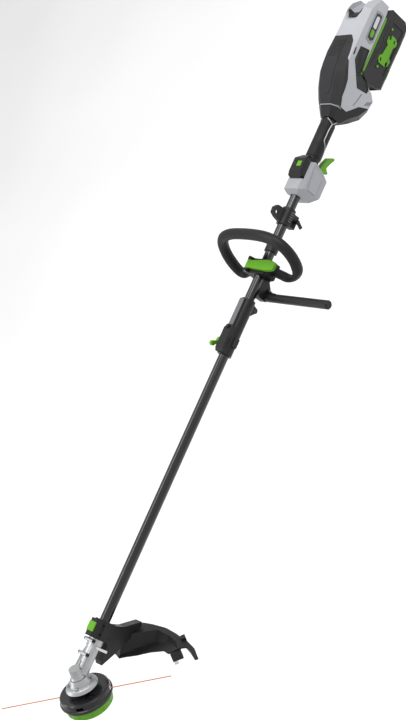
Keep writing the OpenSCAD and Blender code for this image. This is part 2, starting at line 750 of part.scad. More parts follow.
module handle_base() color("#242527") on_shaft() difference() {
    union() {
        span([clamp_back, -clamp_half + 4.5, -tube_r - 11], [clamp_front, clamp_half - 4.5, -0.4]);
        span([clamp_back + 4, -11, -tube_r - 17], [clamp_front, 11, -tube_r - 10]);
    }
    rod_x(clamp_back - 1, tube_r + run_gap, clamp_len + 2);
    for (x = [clamp_back + 9, clamp_front - 9], s = [-1, 1])
        rod_z(x, s * (tube_r + 6), -60, 2.2, 61);
}

module handle_lever() color("#74b928") on_shaft() difference() {
    union() {
        side = clamp_len / 2 - 6;
        translate([clamp_x, 0, 0]) hull() for (s = [-1, 1]) {
            rod_z(s * (side - 10), pin_y + 8, lever_low, 6, 8.5);
            rod_z(s * (side - 6), pin_y + lever_len - 30, lever_low, 6, 9.5);
            rod_z(s * (side - 9), pin_y + lever_len - 12, lever_low, 6, 8);
        }
        rod_x(clamp_back + ear_w + 0.4, 5.5, clamp_len - 2 * ear_w - 0.8, pin_y, pin_z);
    }
    rod_x(clamp_back, 2.5 + run_gap, clamp_len, pin_y, pin_z);
}

module lever_pin() color("#b5b8bb") on_shaft()
    rod_x(clamp_back + 0.3, 2.5, clamp_len - 0.6, pin_y, pin_z);

bar_x = handle_x + 63;
bar_z = -tube_r - 28.5;

// Strut that runs forward under the tube, then the bar out to the left
module barrier_bar() color("#2a2b2d") on_shaft() difference() {
    union() {
        side_plate([[clamp_front + part_gap, -9], [clamp_front + part_gap, -tube_r - 17],
            [bar_x - 16, bar_z - 6],
            [bar_x - 5, bar_z - 10], [bar_x + 7, bar_z - 10], [bar_x + 12, bar_z - 2], [bar_x + 12, -22],
            [bar_x + 4, -9]], -11, 9);
        rod_y(bar_x, 0, bar_z, bar_d / 2, bar_reach - 3);
        translate([bar_x, bar_reach - 3.1, bar_z]) rotate([-90, 0, 0])
            cylinder(r1 = bar_d / 2, r2 = bar_d / 2 - 2.5, h = 3);
        // Filled corner between the strut and the bar
        translate([0, 0, bar_z - 8]) linear_extrude(16)
            polygon([[bar_x - 20, 8.9], [bar_x - 14, 15], [bar_x - 11, 26], [bar_x - 10, 42], [bar_x, 42],
                [bar_x, 8.9]]);
    }
    rod_x(clamp_front - 1, tube_r + part_gap, 80);
}

module clamp_screws() color("#8f9296") on_shaft() {
    for (x = [clamp_back + 9, clamp_front - 9], s = [-1, 1]) {
        rod_z(x, s * (tube_r + 6), -tube_r - 10.8, 2, tube_r + 10);
        rod_z(x, s * (tube_r + 6), -tube_r - 14.8, 3.6, 3.6);
    }
}

// ---------- coupler ----------

coupler_r = coupler_d / 2;
coupler_end = coupler_x + coupler_len;
lock_x = split_x - 38;
knob_x = split_x + 40;
knob_y = -coupler_r - 8;
lock_travel = 3;

module coupler_body() color("#2c2d2f") on_shaft() difference() {
    union() {
        rod_x(coupler_x, coupler_r, coupler_len);
        // Flat rib and lock housing on top
        span([coupler_x + 4, -9, 10], [coupler_end - 70, 9, coupler_r + 3]);
        side_plate([[coupler_end - 72, 10], [coupler_end - 72, coupler_r + 4],
            [coupler_end - 64, coupler_r + 8],
            [coupler_end - 10, coupler_r + 8], [coupler_end - 2, coupler_r + 3],
                [coupler_end - 2, 10]], -13, 13);
        // Eyelet below
        rod_y(coupler_x + 14, -4, -coupler_r - 11, 7.5, 8);
        side_plate([[coupler_x + 2, -14], [coupler_x + 40, -14], [coupler_x + 19, -coupler_r - 15],
            [coupler_x + 7, -coupler_r - 12]], -4, 4);
        // Clamp ears on both sides of the slot, at the right
        for (s = [-1, 1])
            span([knob_x - 13, knob_y - 3, s > 0 ? 1 : -11],
                [knob_x + 13, -coupler_r + 4, s > 0 ? 11 : -1]);
        span([knob_x - 12, coupler_r - 4, -7], [knob_x + 12, coupler_r + 5, 7]);
    }
    rod_x(coupler_x - 1, tube_r + 0.02, split_x - coupler_x + 0.6);
    rod_x(split_x - 0.5, tube_r + run_gap, coupler_end - split_x + 2);
    rod_y(coupler_x + 14, -5, -coupler_r - 11, 3.5, 10);
    rod_z(split_x + 8, 0, 0, 5.5 + run_gap, 60);
    // Slot that lets the knob draw the coupler in
    span([split_x + 4, -big, -0.9], [coupler_end + 1, 0, 0.9]);
    rod_y(knob_x, -big, 0, 4, big - tube_r - 6.5 + 1);
}

module lock_button() color("#3c3e41") on_shaft()
    rod_z(split_x + 8, 0, tube_r + lock_travel + 0.4, 5.5, coupler_r + 8.4 + 2.4 - tube_r - lock_travel);

module wing_knob() color("#6fbf25") on_shaft() {
    rod_y(knob_x, knob_y - 14.4, 0, 11, 11);
    rod_y(knob_x, knob_y - 4, 0, 4 - run_gap, 11.4);
    translate([knob_x, knob_y - 3.9, 0]) rotate([90, 0, 0]) linear_extrude(8) rotate(55) union() {
        square([knob_span, 9], center = true);
        for (s = [-1, 1]) translate([s * (knob_span / 2 - 4), 0]) circle(r = 6.5);
    }
}

// ---------- lower shaft ----------

module lower_tube() color("#1a1a1c") on_shaft()
    ring_x(lower_x, tube_r, tube_r - tube_wall, lower_tube_len);

module lower_drive_shaft() color("#a5a8ac") on_shaft() {
    span([drive_split - socket_len + 3, -square / 2, -square / 2],
        [drive_split + 1, square / 2, square / 2]);
    rod_x(drive_split + 0.5, drive_d / 2, head_x - pinion_heel - 2 - drive_split);
}

module lower_bushes() color("#d9d6c8") on_shaft() bushes(lower_x + 30, lower_end - bush_len - 20, 4);

// ---------- gearbox ----------

// Corner of a bevel tooth: cone distance, height off the pitch cone, angle round the axis
function cone_point(delta, r, off, a) =
    let (rad = r * sin(delta) + off * cos(delta), z = r * cos(delta) - off * sin(delta))
    [rad * cos(a), rad * sin(a), z];

// One straight bevel tooth that stands on its pitch cone, whose point is the origin
module bevel_tooth(teeth, delta, a) {
    ends = [cone_r - face_w, cone_r];
    loft([for (r = ends) let (m = 2 * r * sin(delta) / teeth, low = 100 / teeth, high = 42 / teeth)
        [cone_point(delta, r, -1.1 * m, a - low), cone_point(delta, r, -1.1 * m, a + low),
         cone_point(delta, r, 0.75 * m, a + high), cone_point(delta, r, 0.75 * m, a - high)]]);
}

module bevel(teeth, delta, phase, hub, back) {
    heel = 2 * cone_r * sin(delta) / teeth;
    toe = 2 * (cone_r - face_w) * sin(delta) / teeth;
    low = cone_point(delta, cone_r, -heel, 0);
    inner = cone_point(delta, cone_r - face_w, -toe, 0);
    rotate_extrude($fn = 64) polygon([[0, inner[2]], [inner[0], inner[2]], [low[0], low[2]],
        [low[0], low[2] + 1.5], [hub, low[2] + back], [0, low[2] + back]]);
    for (k = [0 : teeth - 1]) bevel_tooth(teeth, delta, (k + phase) * 360 / teeth);
}

spindle_r = 5;

module bevel_pinion() color("#8d9196") on_shaft() translate([head_x, 0, 0]) rotate([0, -90, 0])
    difference() {
        bevel(pinion_teeth, pinion_cone, 0.5, 8, 6);
        translate([0, 0, pinion_heel + 1]) cylinder(r = drive_d / 2 + 0.1, h = 40);
    }

module bevel_gear() color("#8d9196") at_head() rotate([180, 0, 0]) difference() {
    bevel(gear_teeth, gear_cone, 0, 10, 6);
    translate([0, 0, -10]) cylinder(r = spindle_r + 0.1, h = 40);
}

rim_z = -31.8;                      // upper rim of the line head below the gear axis
flange_z = rim_z + 12;
gear_floor = -12;
bearing_z = gear_floor - 8;

module output_spindle() color("#c3c6c9") at_head() {
    translate([0, 0, -45.5]) cylinder(r = 4, h = 20);
    translate([0, 0, -28]) cylinder(r = spindle_r, h = 24.5);
}

pinion_bearing_x = head_x - pinion_heel - 22;

module gearbox_bearings() color("#b9bcc0") {
    on_shaft() bearing(pinion_bearing_x, 11, drive_d / 2 + run_gap, 8);
    at_head() translate([0, 0, bearing_z]) rotate([0, -90, 0]) bearing(0, 13, spindle_r + run_gap, 7.5);
}

module gearbox_case() color("#c9ccd0") difference() {
    union() {
        on_shaft() {
            rod_x(neck_back, neck_r, head_x - neck_back - 12);
            // Clamp lugs on the neck
            for (x = [neck_back + 7, neck_back + 41]) rod_y(x, -14, neck_r + 1.5, 4.2, 28);
            ring_x(neck_back, neck_r + 2.2, neck_r - 1, 14);
            side_plate([[head_x - 44, 10], [head_x - 38, neck_r + 2], [head_x - 18, neck_r + 3],
                [head_x - 10, 4]], -2, 2);
            for (s = [-1, 1]) rotate([s * 38, 0, 0])
                side_plate([[head_x - 84, neck_r - 2], [head_x - 60, neck_r + 3], [head_x - 24, neck_r + 5],
                    [head_x - 16, 6]], -1.6, 1.6);
        }
        at_head() {
            translate([0, 0, flange_z + 7]) cylinder(r1 = flange_r, r2 = flange_r - 5, h = 2);
            translate([0, 0, flange_z]) cylinder(r1 = flange_r + 4, r2 = flange_r, h = 7);
            translate([0, 0, flange_z + 8]) cylinder(r1 = 27, r2 = 20, h = 16);
            cylinder(r1 = 20, r2 = 13.5, h = 14);
            cylinder(r1 = 15.5, r2 = 14, h = 30);
        }
    }
    on_shaft() {
        rod_x(neck_back - 1, tube_r + 0.04, lower_end - neck_back + 1.3);
        rod_x(neck_back, drive_d / 2 + 2, 80);
        rod_x(pinion_bearing_x - 1, 11.05, 10);
        rod_x(pinion_bearing_x + 4, 13.2, head_x - pinion_bearing_x - 10);
        for (x = [neck_back + 7, neck_back + 41]) rod_y(x, -15, neck_r + 1.5, 2.2, 30);
    }
    at_head() {
        translate([0, 0, gear_floor]) cylinder(r = 18.4, h = 17);
        translate([0, 0, bearing_z - 0.2]) cylinder(r = 13.05, h = 9);
        translate([0, 0, -40]) cylinder(r = 9, h = 30);
        translate([0, 0, flange_z - 1]) cylinder(r = flange_r - 3, h = 3);
    }
}

module attachment_bolts() color("#1b1b1d") on_shaft() {
    for (x = [neck_back + 7, neck_back + 41]) {
        rod_y(x, -16, neck_r + 1.5, 2, 32);
        rod_y(x, 14.2, neck_r + 1.5, 4, 4);
        rod_y(x, -17.8, neck_r + 1.5, 4, 3.6);
    }
    for (s = [-1, 1]) {
        rod_z(bracket_x + 12, s * (tube_r + 5), -tube_r - 9.5, 2.2, 21);
        rod_z(bracket_x + 34, s * (tube_r + 5), -tube_r - 9.5, 2.2, 21);
    }
}

// ---------- guard ----------

bracket_r = tube_r + 9.5;
bracket_end = bracket_x + bracket_len;
badge_w = 24;

module guard_bracket() color("#2a2b2d") on_shaft() difference() {
    union() {
        rod_x(bracket_x, bracket_r, bracket_len);
        cross_bar([[-17, 0], [-17, tube_r + 10], [-10, tube_r + 17], [10, tube_r + 17],
            [17, tube_r + 10], [17, 0]],
            bracket_x + 3, bracket_end);
        span([bracket_x, -bracket_r, -10], [bracket_end, bracket_r, 10]);
        span([bracket_x, -20, -bracket_r], [bracket_end, 20, 0]);
    }
    rod_x(bracket_x - 1, tube_r + 0.04, bracket_len + 2);
    span([bracket_x + 10.7, -badge_w / 2 - part_gap, tube_r + 14.5],
        [bracket_x + 34.3, badge_w / 2 + part_gap, tube_r + 20]);
    for (x = [bracket_x + 12, bracket_x + 34], s = [-1, 1])
        rod_z(x, s * (tube_r + 5), -60, 2.4, 61 + 12);
}

module bracket_badge() color("#7fd03a") on_shaft()
    span([bracket_x + 11, -badge_w / 2, tube_r + 14.8], [bracket_x + 34, badge_w / 2, tube_r + 18.6]);

plate_x = neck_back + 3;

module clamp_plate() color("#b4b7bb") on_shaft() difference() {
    cross_bar([[-26, 4], [-26, -14], [-14, -neck_r - 12], [14, -neck_r - 12], [38, -14], [38, 4],
        [neck_r + 3, 4], [-neck_r - 3, 4]], plate_x + 12, plate_x + 18);
    rod_x(plate_x, neck_r + 0.1, 30);
    rod_x(plate_x - 1, neck_r + 2.4, 12.5);
    span([plate_x, -neck_r, 0], [plate_x + 30, neck_r, 10]);
}

// Guard section by its angle from straight back: angle, front lip radius, foot and crest
// radius of the step, crest height, outer radius, rear height
guard_sections = [
    [-36, 150, 165, 180, 20, 206, 16], [-20, 132, 140, 160, 32, 206, 26], [-8, 118, 122, 148, 42, 208, 36],
    [0, 112, 117, 140, 46, 212, 40], [6, 124, 150, 172, 43, 220, 38], [14, 143, 196, 214, 36, 236, 31],
    [22, 174, 218, 228, 28, 248, 24], [29, 203, 230, 238, 23, 259, 19], [35, 212, 236, 244, 19, 264, 15]];

function guard_point(a, r, level) =
    [-r * guard_scale * cos(a), r * guard_scale * sin(a), rim_z + level];

// Height of the front lip, which rises towards the far end
function lip_level(a) = 4 + max(0, a - 14) * 0.4;

function guard_ring(g) = let (a = g[0], t = guard_t, lip = lip_level(a))
    [guard_point(a, g[1], lip), guard_point(a, g[1], lip + t), guard_point(a, g[2], lip + 3 + t),
     guard_point(a, g[3], g[4]), guard_point(a, g[5] - 4, g[6]), guard_point(a, g[5], g[6] - 4),
     guard_point(a, g[5], lip - 2), guard_point(a, g[5] - t, lip - 2), guard_point(a, g[5] - t,
         g[6] - t - 2),
     guard_point(a, g[3] + 2, g[4] - t - 1.5), guard_point(a, g[2] + t, lip + 1.5)];

// Curved arm at the far end: angle, inner and outer radius, lower and upper height
arm_sections = [[26, 243, 254, 10, 20], [32, 252, 264, 8, 17], [38, 262, 275, 5, 14], [44, 272, 281, 2, 9]];

function arm_ring(g) = [guard_point(g[0], g[1], g[3]), guard_point(g[0], g[1], g[4]),
    guard_point(g[0], g[2], g[4]), guard_point(g[0], g[2], g[3])];

blade_angle = 33;
blade_r = 230;                       // distance of the blade from the head axis

module guard_shell() color("#2f3032") {
    at_head() {
        loft([for (g = guard_sections) guard_ring(g)]);
        loft([for (g = arm_sections) arm_ring(g)]);
        // Stop on the outer edge
        rotate([0, 0, -28]) translate([-262 * guard_scale, -7, rim_z + 13]) cube([11, 15, 12]);
        // Block that holds the cutter blade
        rotate([0, 0, -blade_angle]) translate([(-blade_r - 12) * guard_scale, 0, rim_z - 8])
            difference() {
                cube([26, 14, 23]);
                translate([13.8, 5.9, -1]) cube([13, 2.2, 15]);
            }
    }
    on_shaft() difference() {
        side_plate([[bracket_x + 2, -bracket_r - 0.3], [bracket_end - 2, -bracket_r - 0.3],
            [neck_back + 8, -neck_r - 12.5], [neck_back + 24, -neck_r - 12.6], [head_x - 56, -29],
            [head_x - 47, -37], [head_x - 88, -62], [head_x - 116, -76], [head_x - 168, -98],
            [head_x - 176, -94], [bracket_x - 6, -52]], -12, 12);
        rod_x(neck_back - 1, neck_r + 1, 120);
    }
}

module cutter_blade() color("#d5d8da") at_head() rotate([0, 0, -blade_angle])
    translate([-blade_r + 3, 6.2, rim_z - 21]) cube([10, 1.6, 25]);

// ---------- line head ----------

line_level = rim_z - 10.2;
skirt_r = rim_r + 3.8;
base_r = rim_r - 3.7;
head_wall = 2.5;

module head_housing() color("#232426") at_head() difference() {
    rotate_extrude($fn = 96) polygon([[4.3, rim_z + 3], [14, rim_z + 3], [18, rim_z - 2], [34, rim_z - 2],
        [42, rim_z - 0.5], [rim_r - 3, rim_z], [rim_r, rim_z - 3], [rim_r + 1.4, rim_z - 15],
            [skirt_r, rim_z - 16],
        [skirt_r, rim_z - 20], [rim_r + 1, rim_z - 21], [rim_r + 1, rim_z - 25],
        [rim_r - head_wall, rim_z - 25], [rim_r - head_wall, rim_z - head_wall - 2],
            [42, rim_z - head_wall - 1],
        [12, rim_z - head_wall - 2], [12, rim_z - 12], [4.3, rim_z - 12]]);
    for (s = [0, 180]) rotate([0, 0, line_angle + s]) translate([0, 0, line_level]) rotate([0, 90, 0])
        cylinder(r = line_d / 2 + 0.6, h = 80);
    // Latch windows and top slots
    for (s = [90, 270]) rotate([0, 0, line_angle + s]) translate([rim_r - 6, -9, rim_z - 13]) cube([12,
        18, 7]);
    for (s = [0 : 90 : 270]) rotate([0, 0, s + 20]) translate([44, -10, rim_z - 8]) cube([3, 20, 12]);
}

line_angle = 180 - 49;

module line_spool() color("#303134") at_head() difference() {
    rotate_extrude($fn = 72) polygon([[13, rim_z - 7], [rim_r - 8, rim_z - 7], [rim_r - 8, rim_z - 9],
        [24, rim_z - 9],
        [24, rim_z - 22], [rim_r - 8, rim_z - 22], [rim_r - 8, rim_z - 24], [24, rim_z - 24],
            [24, rim_z - 36],
        [rim_r - 8, rim_z - 36], [rim_r - 8, rim_z - 38], [17, rim_z - 38], [17, rim_z - 22],
            [13, rim_z - 20]]);
}

base_top = rim_z - 25.3;
base_low = rim_z - 48;

module head_base() color("#79c52a") at_head() difference() {
    rotate_extrude($fn = 96) polygon([[31, base_low], [base_r - 5, base_low], [base_r, base_low + 5],
        [base_r + 0.8, base_top], [base_r - head_wall, base_top], [base_r - head_wall, base_low + 6],
        [base_r - 7, base_low + 3], [31, base_low + 3]]);
    for (k = [0 : 11]) rotate([0, 0, 30 * k]) translate([base_r + 3, 0,
        base_low - 1]) cylinder(r = 4.4, h = 16);
}

module bump_knob() color("#26272a") at_head() rotate_extrude($fn = 72)
    polygon([[0, base_low - 11], [22, base_low - 11], [28, base_low - 7],
        [30.5, base_low + bump_travel - 6],
        [30.5, base_low + 4], [16.5, base_low + 4], [16.5, rim_z - 24 - bump_travel],
        [14, rim_z - 24 - bump_travel], [14, base_low + 1], [0, base_low + 1]]);

module bump_spring() color("#c8cacc") at_head() difference() {
    translate([0, 0, base_low + 1.2]) cylinder(r = 11.5, h = 28);
    translate([0, 0, base_low]) cylinder(r = 10, h = 32);
}

// Distances of the cutting line's points from the head axis
line_route = [rim_r + 3, 80, 110, 140, 170, 200, cut_r];

module cutting_line(turn) at_head() rotate([0, 0, line_angle + turn]) {
    path = smooth([for (d = line_route) [d, 0, line_level]], 4);
    loft([for (i = [0 : len(path) - 1])
        path_ring(path, i, [0, 1, 0], line_d / 2, line_d / 2, 8)]);
}

module line_left() color("#d9824f") cutting_line(0);

module line_right() color("#d9824f") cutting_line(180);

motor_cover_left();
motor_cover_right();
top_pad();
front_boot();
vent_grilles();
release_button();
motor_stator();
motor_rotor();
motor_bearings();
cooling_fan();
control_board();
battery_terminals();
battery_case();
battery_trim();
battery_cells();
grip_sleeve();
throttle_housing_left();
throttle_housing_right();
control_panel();
power_button();
speed_button();
trigger();
trigger_pin();
trigger_switch();
upper_tube();
hanger_bracket();
hanger_wing_screw();
stop_collar();
handle_base();
loop_handle();
handle_lever();
lever_pin();
barrier_bar();
upper_drive_shaft();
upper_bushes();
clamp_screws();
coupler_body();
lock_button();
wing_knob();
lower_tube();
lower_drive_shaft();
lower_bushes();
guard_bracket();
bracket_badge();
clamp_plate();
guard_shell();
cutter_blade();
attachment_bolts();
gearbox_case();
bevel_pinion();
bevel_gear();
output_spindle();
gearbox_bearings();
head_housing();
line_spool();
head_base();
bump_knob();
bump_spring();
line_left();
line_right();
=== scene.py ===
"""Looks of a battery string trimmer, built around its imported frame.

Every size is in millimetres until at() or head_at() turns it into a place in the frame.
"""

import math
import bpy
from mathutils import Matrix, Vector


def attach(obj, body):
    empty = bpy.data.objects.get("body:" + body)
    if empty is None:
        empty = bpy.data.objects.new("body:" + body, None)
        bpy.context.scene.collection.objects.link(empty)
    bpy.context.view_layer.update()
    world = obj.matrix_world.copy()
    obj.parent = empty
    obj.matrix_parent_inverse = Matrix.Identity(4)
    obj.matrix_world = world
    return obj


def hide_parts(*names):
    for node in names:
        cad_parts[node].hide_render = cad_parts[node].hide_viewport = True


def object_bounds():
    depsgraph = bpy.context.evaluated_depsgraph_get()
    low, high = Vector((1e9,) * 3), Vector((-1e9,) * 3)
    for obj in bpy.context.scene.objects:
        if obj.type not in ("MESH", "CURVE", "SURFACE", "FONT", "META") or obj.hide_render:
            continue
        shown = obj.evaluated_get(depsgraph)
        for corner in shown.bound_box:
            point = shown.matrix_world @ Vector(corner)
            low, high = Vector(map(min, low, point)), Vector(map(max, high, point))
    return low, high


bl_info = {
    "name": "String trimmer",
    "version": (1, 0, 0),
    "blender": (4, 5, 0),
    "location": "3D View > Sidebar > Trimmer",
    "description": "Builds the finished pieces of a battery string trimmer round its packed frame",
    "category": "Object",
}

import bmesh
import bpy
from mathutils import Matrix, Vector

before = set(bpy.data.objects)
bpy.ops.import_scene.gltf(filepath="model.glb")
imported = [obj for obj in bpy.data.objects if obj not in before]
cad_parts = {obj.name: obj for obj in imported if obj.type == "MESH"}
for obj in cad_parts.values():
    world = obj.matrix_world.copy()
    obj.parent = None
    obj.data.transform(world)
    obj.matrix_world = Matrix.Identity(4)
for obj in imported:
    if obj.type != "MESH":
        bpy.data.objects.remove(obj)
cad_box = [list(corner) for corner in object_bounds()]

MM = 0.001
RING_HEIGHT = 36.0
HEAD_X = 1207.5
HEAD_TILT = math.radians(34.3)
LINE_ANGLE = math.radians(131)
LINE_LEVEL = -42.0
LINE_START = 63.7


# ---------- places ----------

def at(x, y, z):
    """Place in the frame of a point given along, beside and above the shaft's axis."""
    return Vector((x, y, z - RING_HEIGHT)) * MM


def head_matrix():
    """Turns the line head's own millimetres into the frame: X forward, Z up its axis."""
    place = Matrix.Translation(at(HEAD_X, 0, 0))
    return place @ Matrix.Rotation(-HEAD_TILT, 4, "Y") @ Matrix.Scale(MM, 4)


def head_at(e, s, h):
    return head_matrix() @ Vector((e, s, h))


# ---------- materials ----------

def linear(code):
    """Linear colour of a six-digit sRGB code."""
    parts = [int(code[i:i + 2], 16) / 255 for i in (0, 2, 4)]
    return tuple(c / 12.92 if c <= 0.04045 else ((c + 0.055) / 1.055) ** 2.4 for c in parts)


class Nodes:
    """Short way to add and join a material's nodes."""

    def __init__(self, name):
        self.material = bpy.data.materials.new(name)
        self.material.use_nodes = True
        self.tree = self.material.node_tree
        self.shader = self.tree.nodes["Principled BSDF"]
        self.place = self.add("ShaderNodeTexCoord").outputs["Object"]

    def add(self, kind, **inputs):
        node = self.tree.nodes.new(kind)
        for key, value in inputs.items():
            socket = node.inputs[key.replace("_", " ")]
            if isinstance(value, bpy.types.NodeSocket):
                self.tree.links.new(value, socket)
            else:
                socket.default_value = value
        return node

    def noise(self, scale, detail=2.0, roughness=0.5):
        return self.add("ShaderNodeTexNoise", Vector=self.place, Scale=scale, Detail=detail,
                        Roughness=roughness).outputs["Fac"]

    def ramp(self, value, low, high, start=0.3, end=0.7):
        node = self.add("ShaderNodeMapRange", Value=value)
        for key, number in (("From Min", start), ("From Max", end), ("To Min", low), ("To Max", high)):
            node.inputs[key].default_value = number
        return node.outputs["Result"]

    def blend(self, value, first, second):
        node = self.add("ShaderNodeMix")
        node.data_type = "RGBA"
        self.tree.links.new(value, node.inputs[0])
        for socket, colour in ((node.inputs[6], first), (node.inputs[7], second)):
            if isinstance(colour, bpy.types.NodeSocket):
                self.tree.links.new(colour, socket)
            else:
                socket.default_value = (*colour, 1)
        return node.outputs[2]

    def bump(self, height, depth, strength=1.0, below=None):
        node = self.add("ShaderNodeBump", Strength=strength, Distance=depth * MM, Height=height)
        if below:
            self.tree.links.new(below, node.inputs["Normal"])
        return node.outputs["Normal"]

    def set(self, **values):
        for key, value in values.items():
            socket = self.shader.inputs[key.replace("_", " ")]
            if isinstance(value, bpy.types.NodeSocket):
                self.tree.links.new(value, socket)
            else:
                socket.default_value = value
        return self.material


def shade(colour, factor):
    return tuple(min(1.0, c * factor) for c in colour)


def moulded(name, colour, rough=0.45, grain=900.0, depth=0.03, spread=0.06, coat=0.0):
    """Moulded plastic: slow colour drift, a fine spark-eroded grain and uneven gloss."""
    n = Nodes(name)
    drift = n.noise(9.0, 3.0)
    fine = n.noise(grain, 2.0)
    tone = n.blend(n.ramp(drift, 0.0, 1.0), shade(colour, 1 - spread), shade(colour, 1 + spread))
    tone = n.blend(n.ramp(fine, 0.0, 0.35), tone, shade(colour, 0.72))
    return n.set(Base_Color=tone, Roughness=n.ramp(n.noise(40.0, 4.0), rough - 0.06, rough + 0.08),
                 Normal=n.bump(fine, depth), Coat_Weight=coat, Coat_Roughness=0.12,
                 Specular_IOR_Level=0.36)


def rubber(name, colour, rough=0.68):
    """Soft overmould: dull, with a close stipple."""
    n = Nodes(name)
    cells = n.add("ShaderNodeTexVoronoi", Vector=n.place, Scale=1500.0).outputs["Distance"]
    tone = n.blend(n.ramp(n.noise(14.0, 3.0), 0.0, 1.0), shade(colour, 0.88), shade(colour, 1.12))
    return n.set(Base_Color=tone, Roughness=n.ramp(n.noise(30.0, 3.0), rough - 0.07, rough + 0.07),
                 Normal=n.bump(cells, 0.05, 0.6), Specular_IOR_Level=0.3)


def lacquer(name, colour, rough=0.16):
    """Powder-coated tube: deep gloss with faint orange peel and hair scratches along it."""
    n = Nodes(name)
    peel = n.noise(260.0, 2.0)
    stretch = n.add("ShaderNodeMapping", Vector=n.place, Scale=(6.0, 900.0, 900.0)).outputs["Vector"]
    hairs = n.add("ShaderNodeTexNoise", Vector=stretch, Scale=1.0, Detail=4.0).outputs["Fac"]
    tone = n.blend(n.ramp(hairs, 0.0, 1.0, 0.55, 0.8), colour, shade(colour, 1.3))
    return n.set(Base_Color=tone, Roughness=n.ramp(peel, rough, rough + 0.05), Coat_Weight=0.4,
                 Coat_Roughness=0.08)


def metal(name, colour, rough=0.32, grain=(500.0, 500.0, 500.0), depth=0.02, patches=0.1):
    """Bare metal: cast or ground grain, with duller patches where it has been handled."""
    n = Nodes(name)
    stretch = n.add("ShaderNodeMapping", Vector=n.place, Scale=grain).outputs["Vector"]
    fine = n.add("ShaderNodeTexNoise", Vector=stretch, Scale=1.0, Detail=3.0).outputs["Fac"]
    stain = n.noise(22.0, 4.0)
    tone = n.blend(n.ramp(stain, 0.0, 1.0), shade(colour, 0.86), colour)
    return n.set(Base_Color=tone, Metallic=1.0, Roughness=n.ramp(stain, rough + patches, rough),
                 Normal=n.bump(fine, depth))


def mesh_screen(name, colour):
    """Woven vent screen: two crossed sets of fine wires."""
    n = Nodes(name)
    lean = (0, math.radians(28), 0)
    turned = n.add("ShaderNodeMapping", Vector=n.place, Rotation=lean).outputs["Vector"]
    waves = []
    for direction, scale in (("X", 170.0), ("Z", 60.0)):
        wave = n.add("ShaderNodeTexWave", Vector=turned, Scale=scale)
        wave.bands_direction = direction
        waves.append(wave.outputs["Fac"])
    top = n.add("ShaderNodeMath")
    top.operation = "MAXIMUM"
    n.tree.links.new(waves[0], top.inputs[0])
    n.tree.links.new(waves[1], top.inputs[1])
    weave = top.outputs[0]
    tone = n.blend(n.ramp(weave, 0.0, 1.0, 0.5, 0.95), shade(colour, 0.2), shade(colour, 1.6))
    return n.set(Base_Color=tone, Roughness=0.5, Normal=n.bump(weave, 0.5, 0.8))


def nylon_line(name, colour):
    """Cutting line: slightly clear nylon with faint drawn streaks."""
    n = Nodes(name)
    tone = n.blend(n.ramp(n.noise(120.0, 3.0), 0.0, 1.0), shade(colour, 0.85), shade(colour, 1.15))
    return n.set(Base_Color=tone, Roughness=n.ramp(n.noise(400.0, 2.0), 0.28, 0.42),
                 Normal=n.bump(n.noise(900.0, 2.0), 0.02), Subsurface_Weight=0.2,
                 Subsurface_Radius=(0.004, 0.002, 0.001))


def windings(name, colour):
    """Enamelled wire wound close round the stator's teeth."""
    n = Nodes(name)
    wave = n.add("ShaderNodeTexWave", Vector=n.place, Scale=420.0, Distortion=1.5).outputs["Fac"]
    tone = n.blend(n.ramp(wave, 0.0, 1.0, 0.2, 0.8), shade(colour, 0.4), colour)
    return n.set(Base_Color=tone, Metallic=1.0, Roughness=0.35, Normal=n.bump(wave, 0.3))


# ---------- meshes ----------

def merged(node):
    """Merged copy of a CAD node's mesh, with each flat face made whole."""
    bm = bmesh.new()
    bm.from_mesh(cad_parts[node].data)
    bmesh.ops.remove_doubles(bm, verts=bm.verts, dist=0.003 * MM)
    bmesh.ops.dissolve_limit(bm, angle_limit=math.radians(0.6), verts=bm.verts, edges=bm.edges)
    return bm


def finish(bm, name, body, material, edge=0.0, nodes=(), crease=30.0, segments=2, outward=False,
           smooth=0):
    """Makes a bmesh a piece: rounded edges, even shading, material and body."""
    if outward:
        bmesh.ops.remove_doubles(bm, verts=bm.verts, dist=0.01 * MM)
        bmesh.ops.recalc_face_normals(bm, faces=bm.faces)
    for face in bm.faces:
        face.smooth = True
    if not edge:
        for line in bm.edges:
            line.smooth = line.calc_face_angle(0.0) < math.radians(crease)
    mesh = bpy.data.meshes.new(name)
    bm.to_mesh(mesh)
    bm.free()
    obj = bpy.data.objects.new(name, mesh)
    bpy.context.scene.collection.objects.link(obj)
    mesh.materials.append(material)
    if smooth:
        level = obj.modifiers.new("Smooth surface", "SUBSURF")
        level.levels = level.render_levels = smooth
    if edge:
        bevel = obj.modifiers.new("Rounded edges", "BEVEL")
        bevel.width = edge * MM
        bevel.segments = segments
        bevel.limit_method = "ANGLE"
        bevel.angle_limit = math.radians(crease)
        obj.modifiers.new("Even shading", "WEIGHTED_NORMAL")
    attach(obj, body)
    if nodes:
        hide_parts(*nodes)
    return obj


def softened(node, name, body, material, edge=0.8, crease=30.0, segments=2):
    """A CAD node with its edges rounded, in place of the sharp one."""
    return finish(merged(node), name, body, material, edge, (node,), crease, segments)


def surface(across, along, place):
    """Grid whose points are put in their places by place(u, v)."""
    bm = bmesh.new()
    bmesh.ops.create_grid(bm, x_segments=across, y_segments=along, size=0.5)
    for v in bm.verts:
        v.co = place(v.co.x + 0.5, v.co.y + 0.5)
    return bm


def curve_point(points, t):
    """Point on a smooth curve through points, at a share t of its length in points."""
    t = min(max(t, 0.0), 1.0) * (len(points) - 1)
    i = min(int(t), len(points) - 2)
    t -= i
    a, b, c, d = (Vector(points[min(max(k, 0), len(points) - 1)]) for k in (i - 1, i, i + 1, i + 2))
    return 0.5 * (2 * b + (c - a) * t + (2 * a - 5 * b + 4 * c - d) * t * t
                  + (3 * b - a - 3 * c + d) * t ** 3)


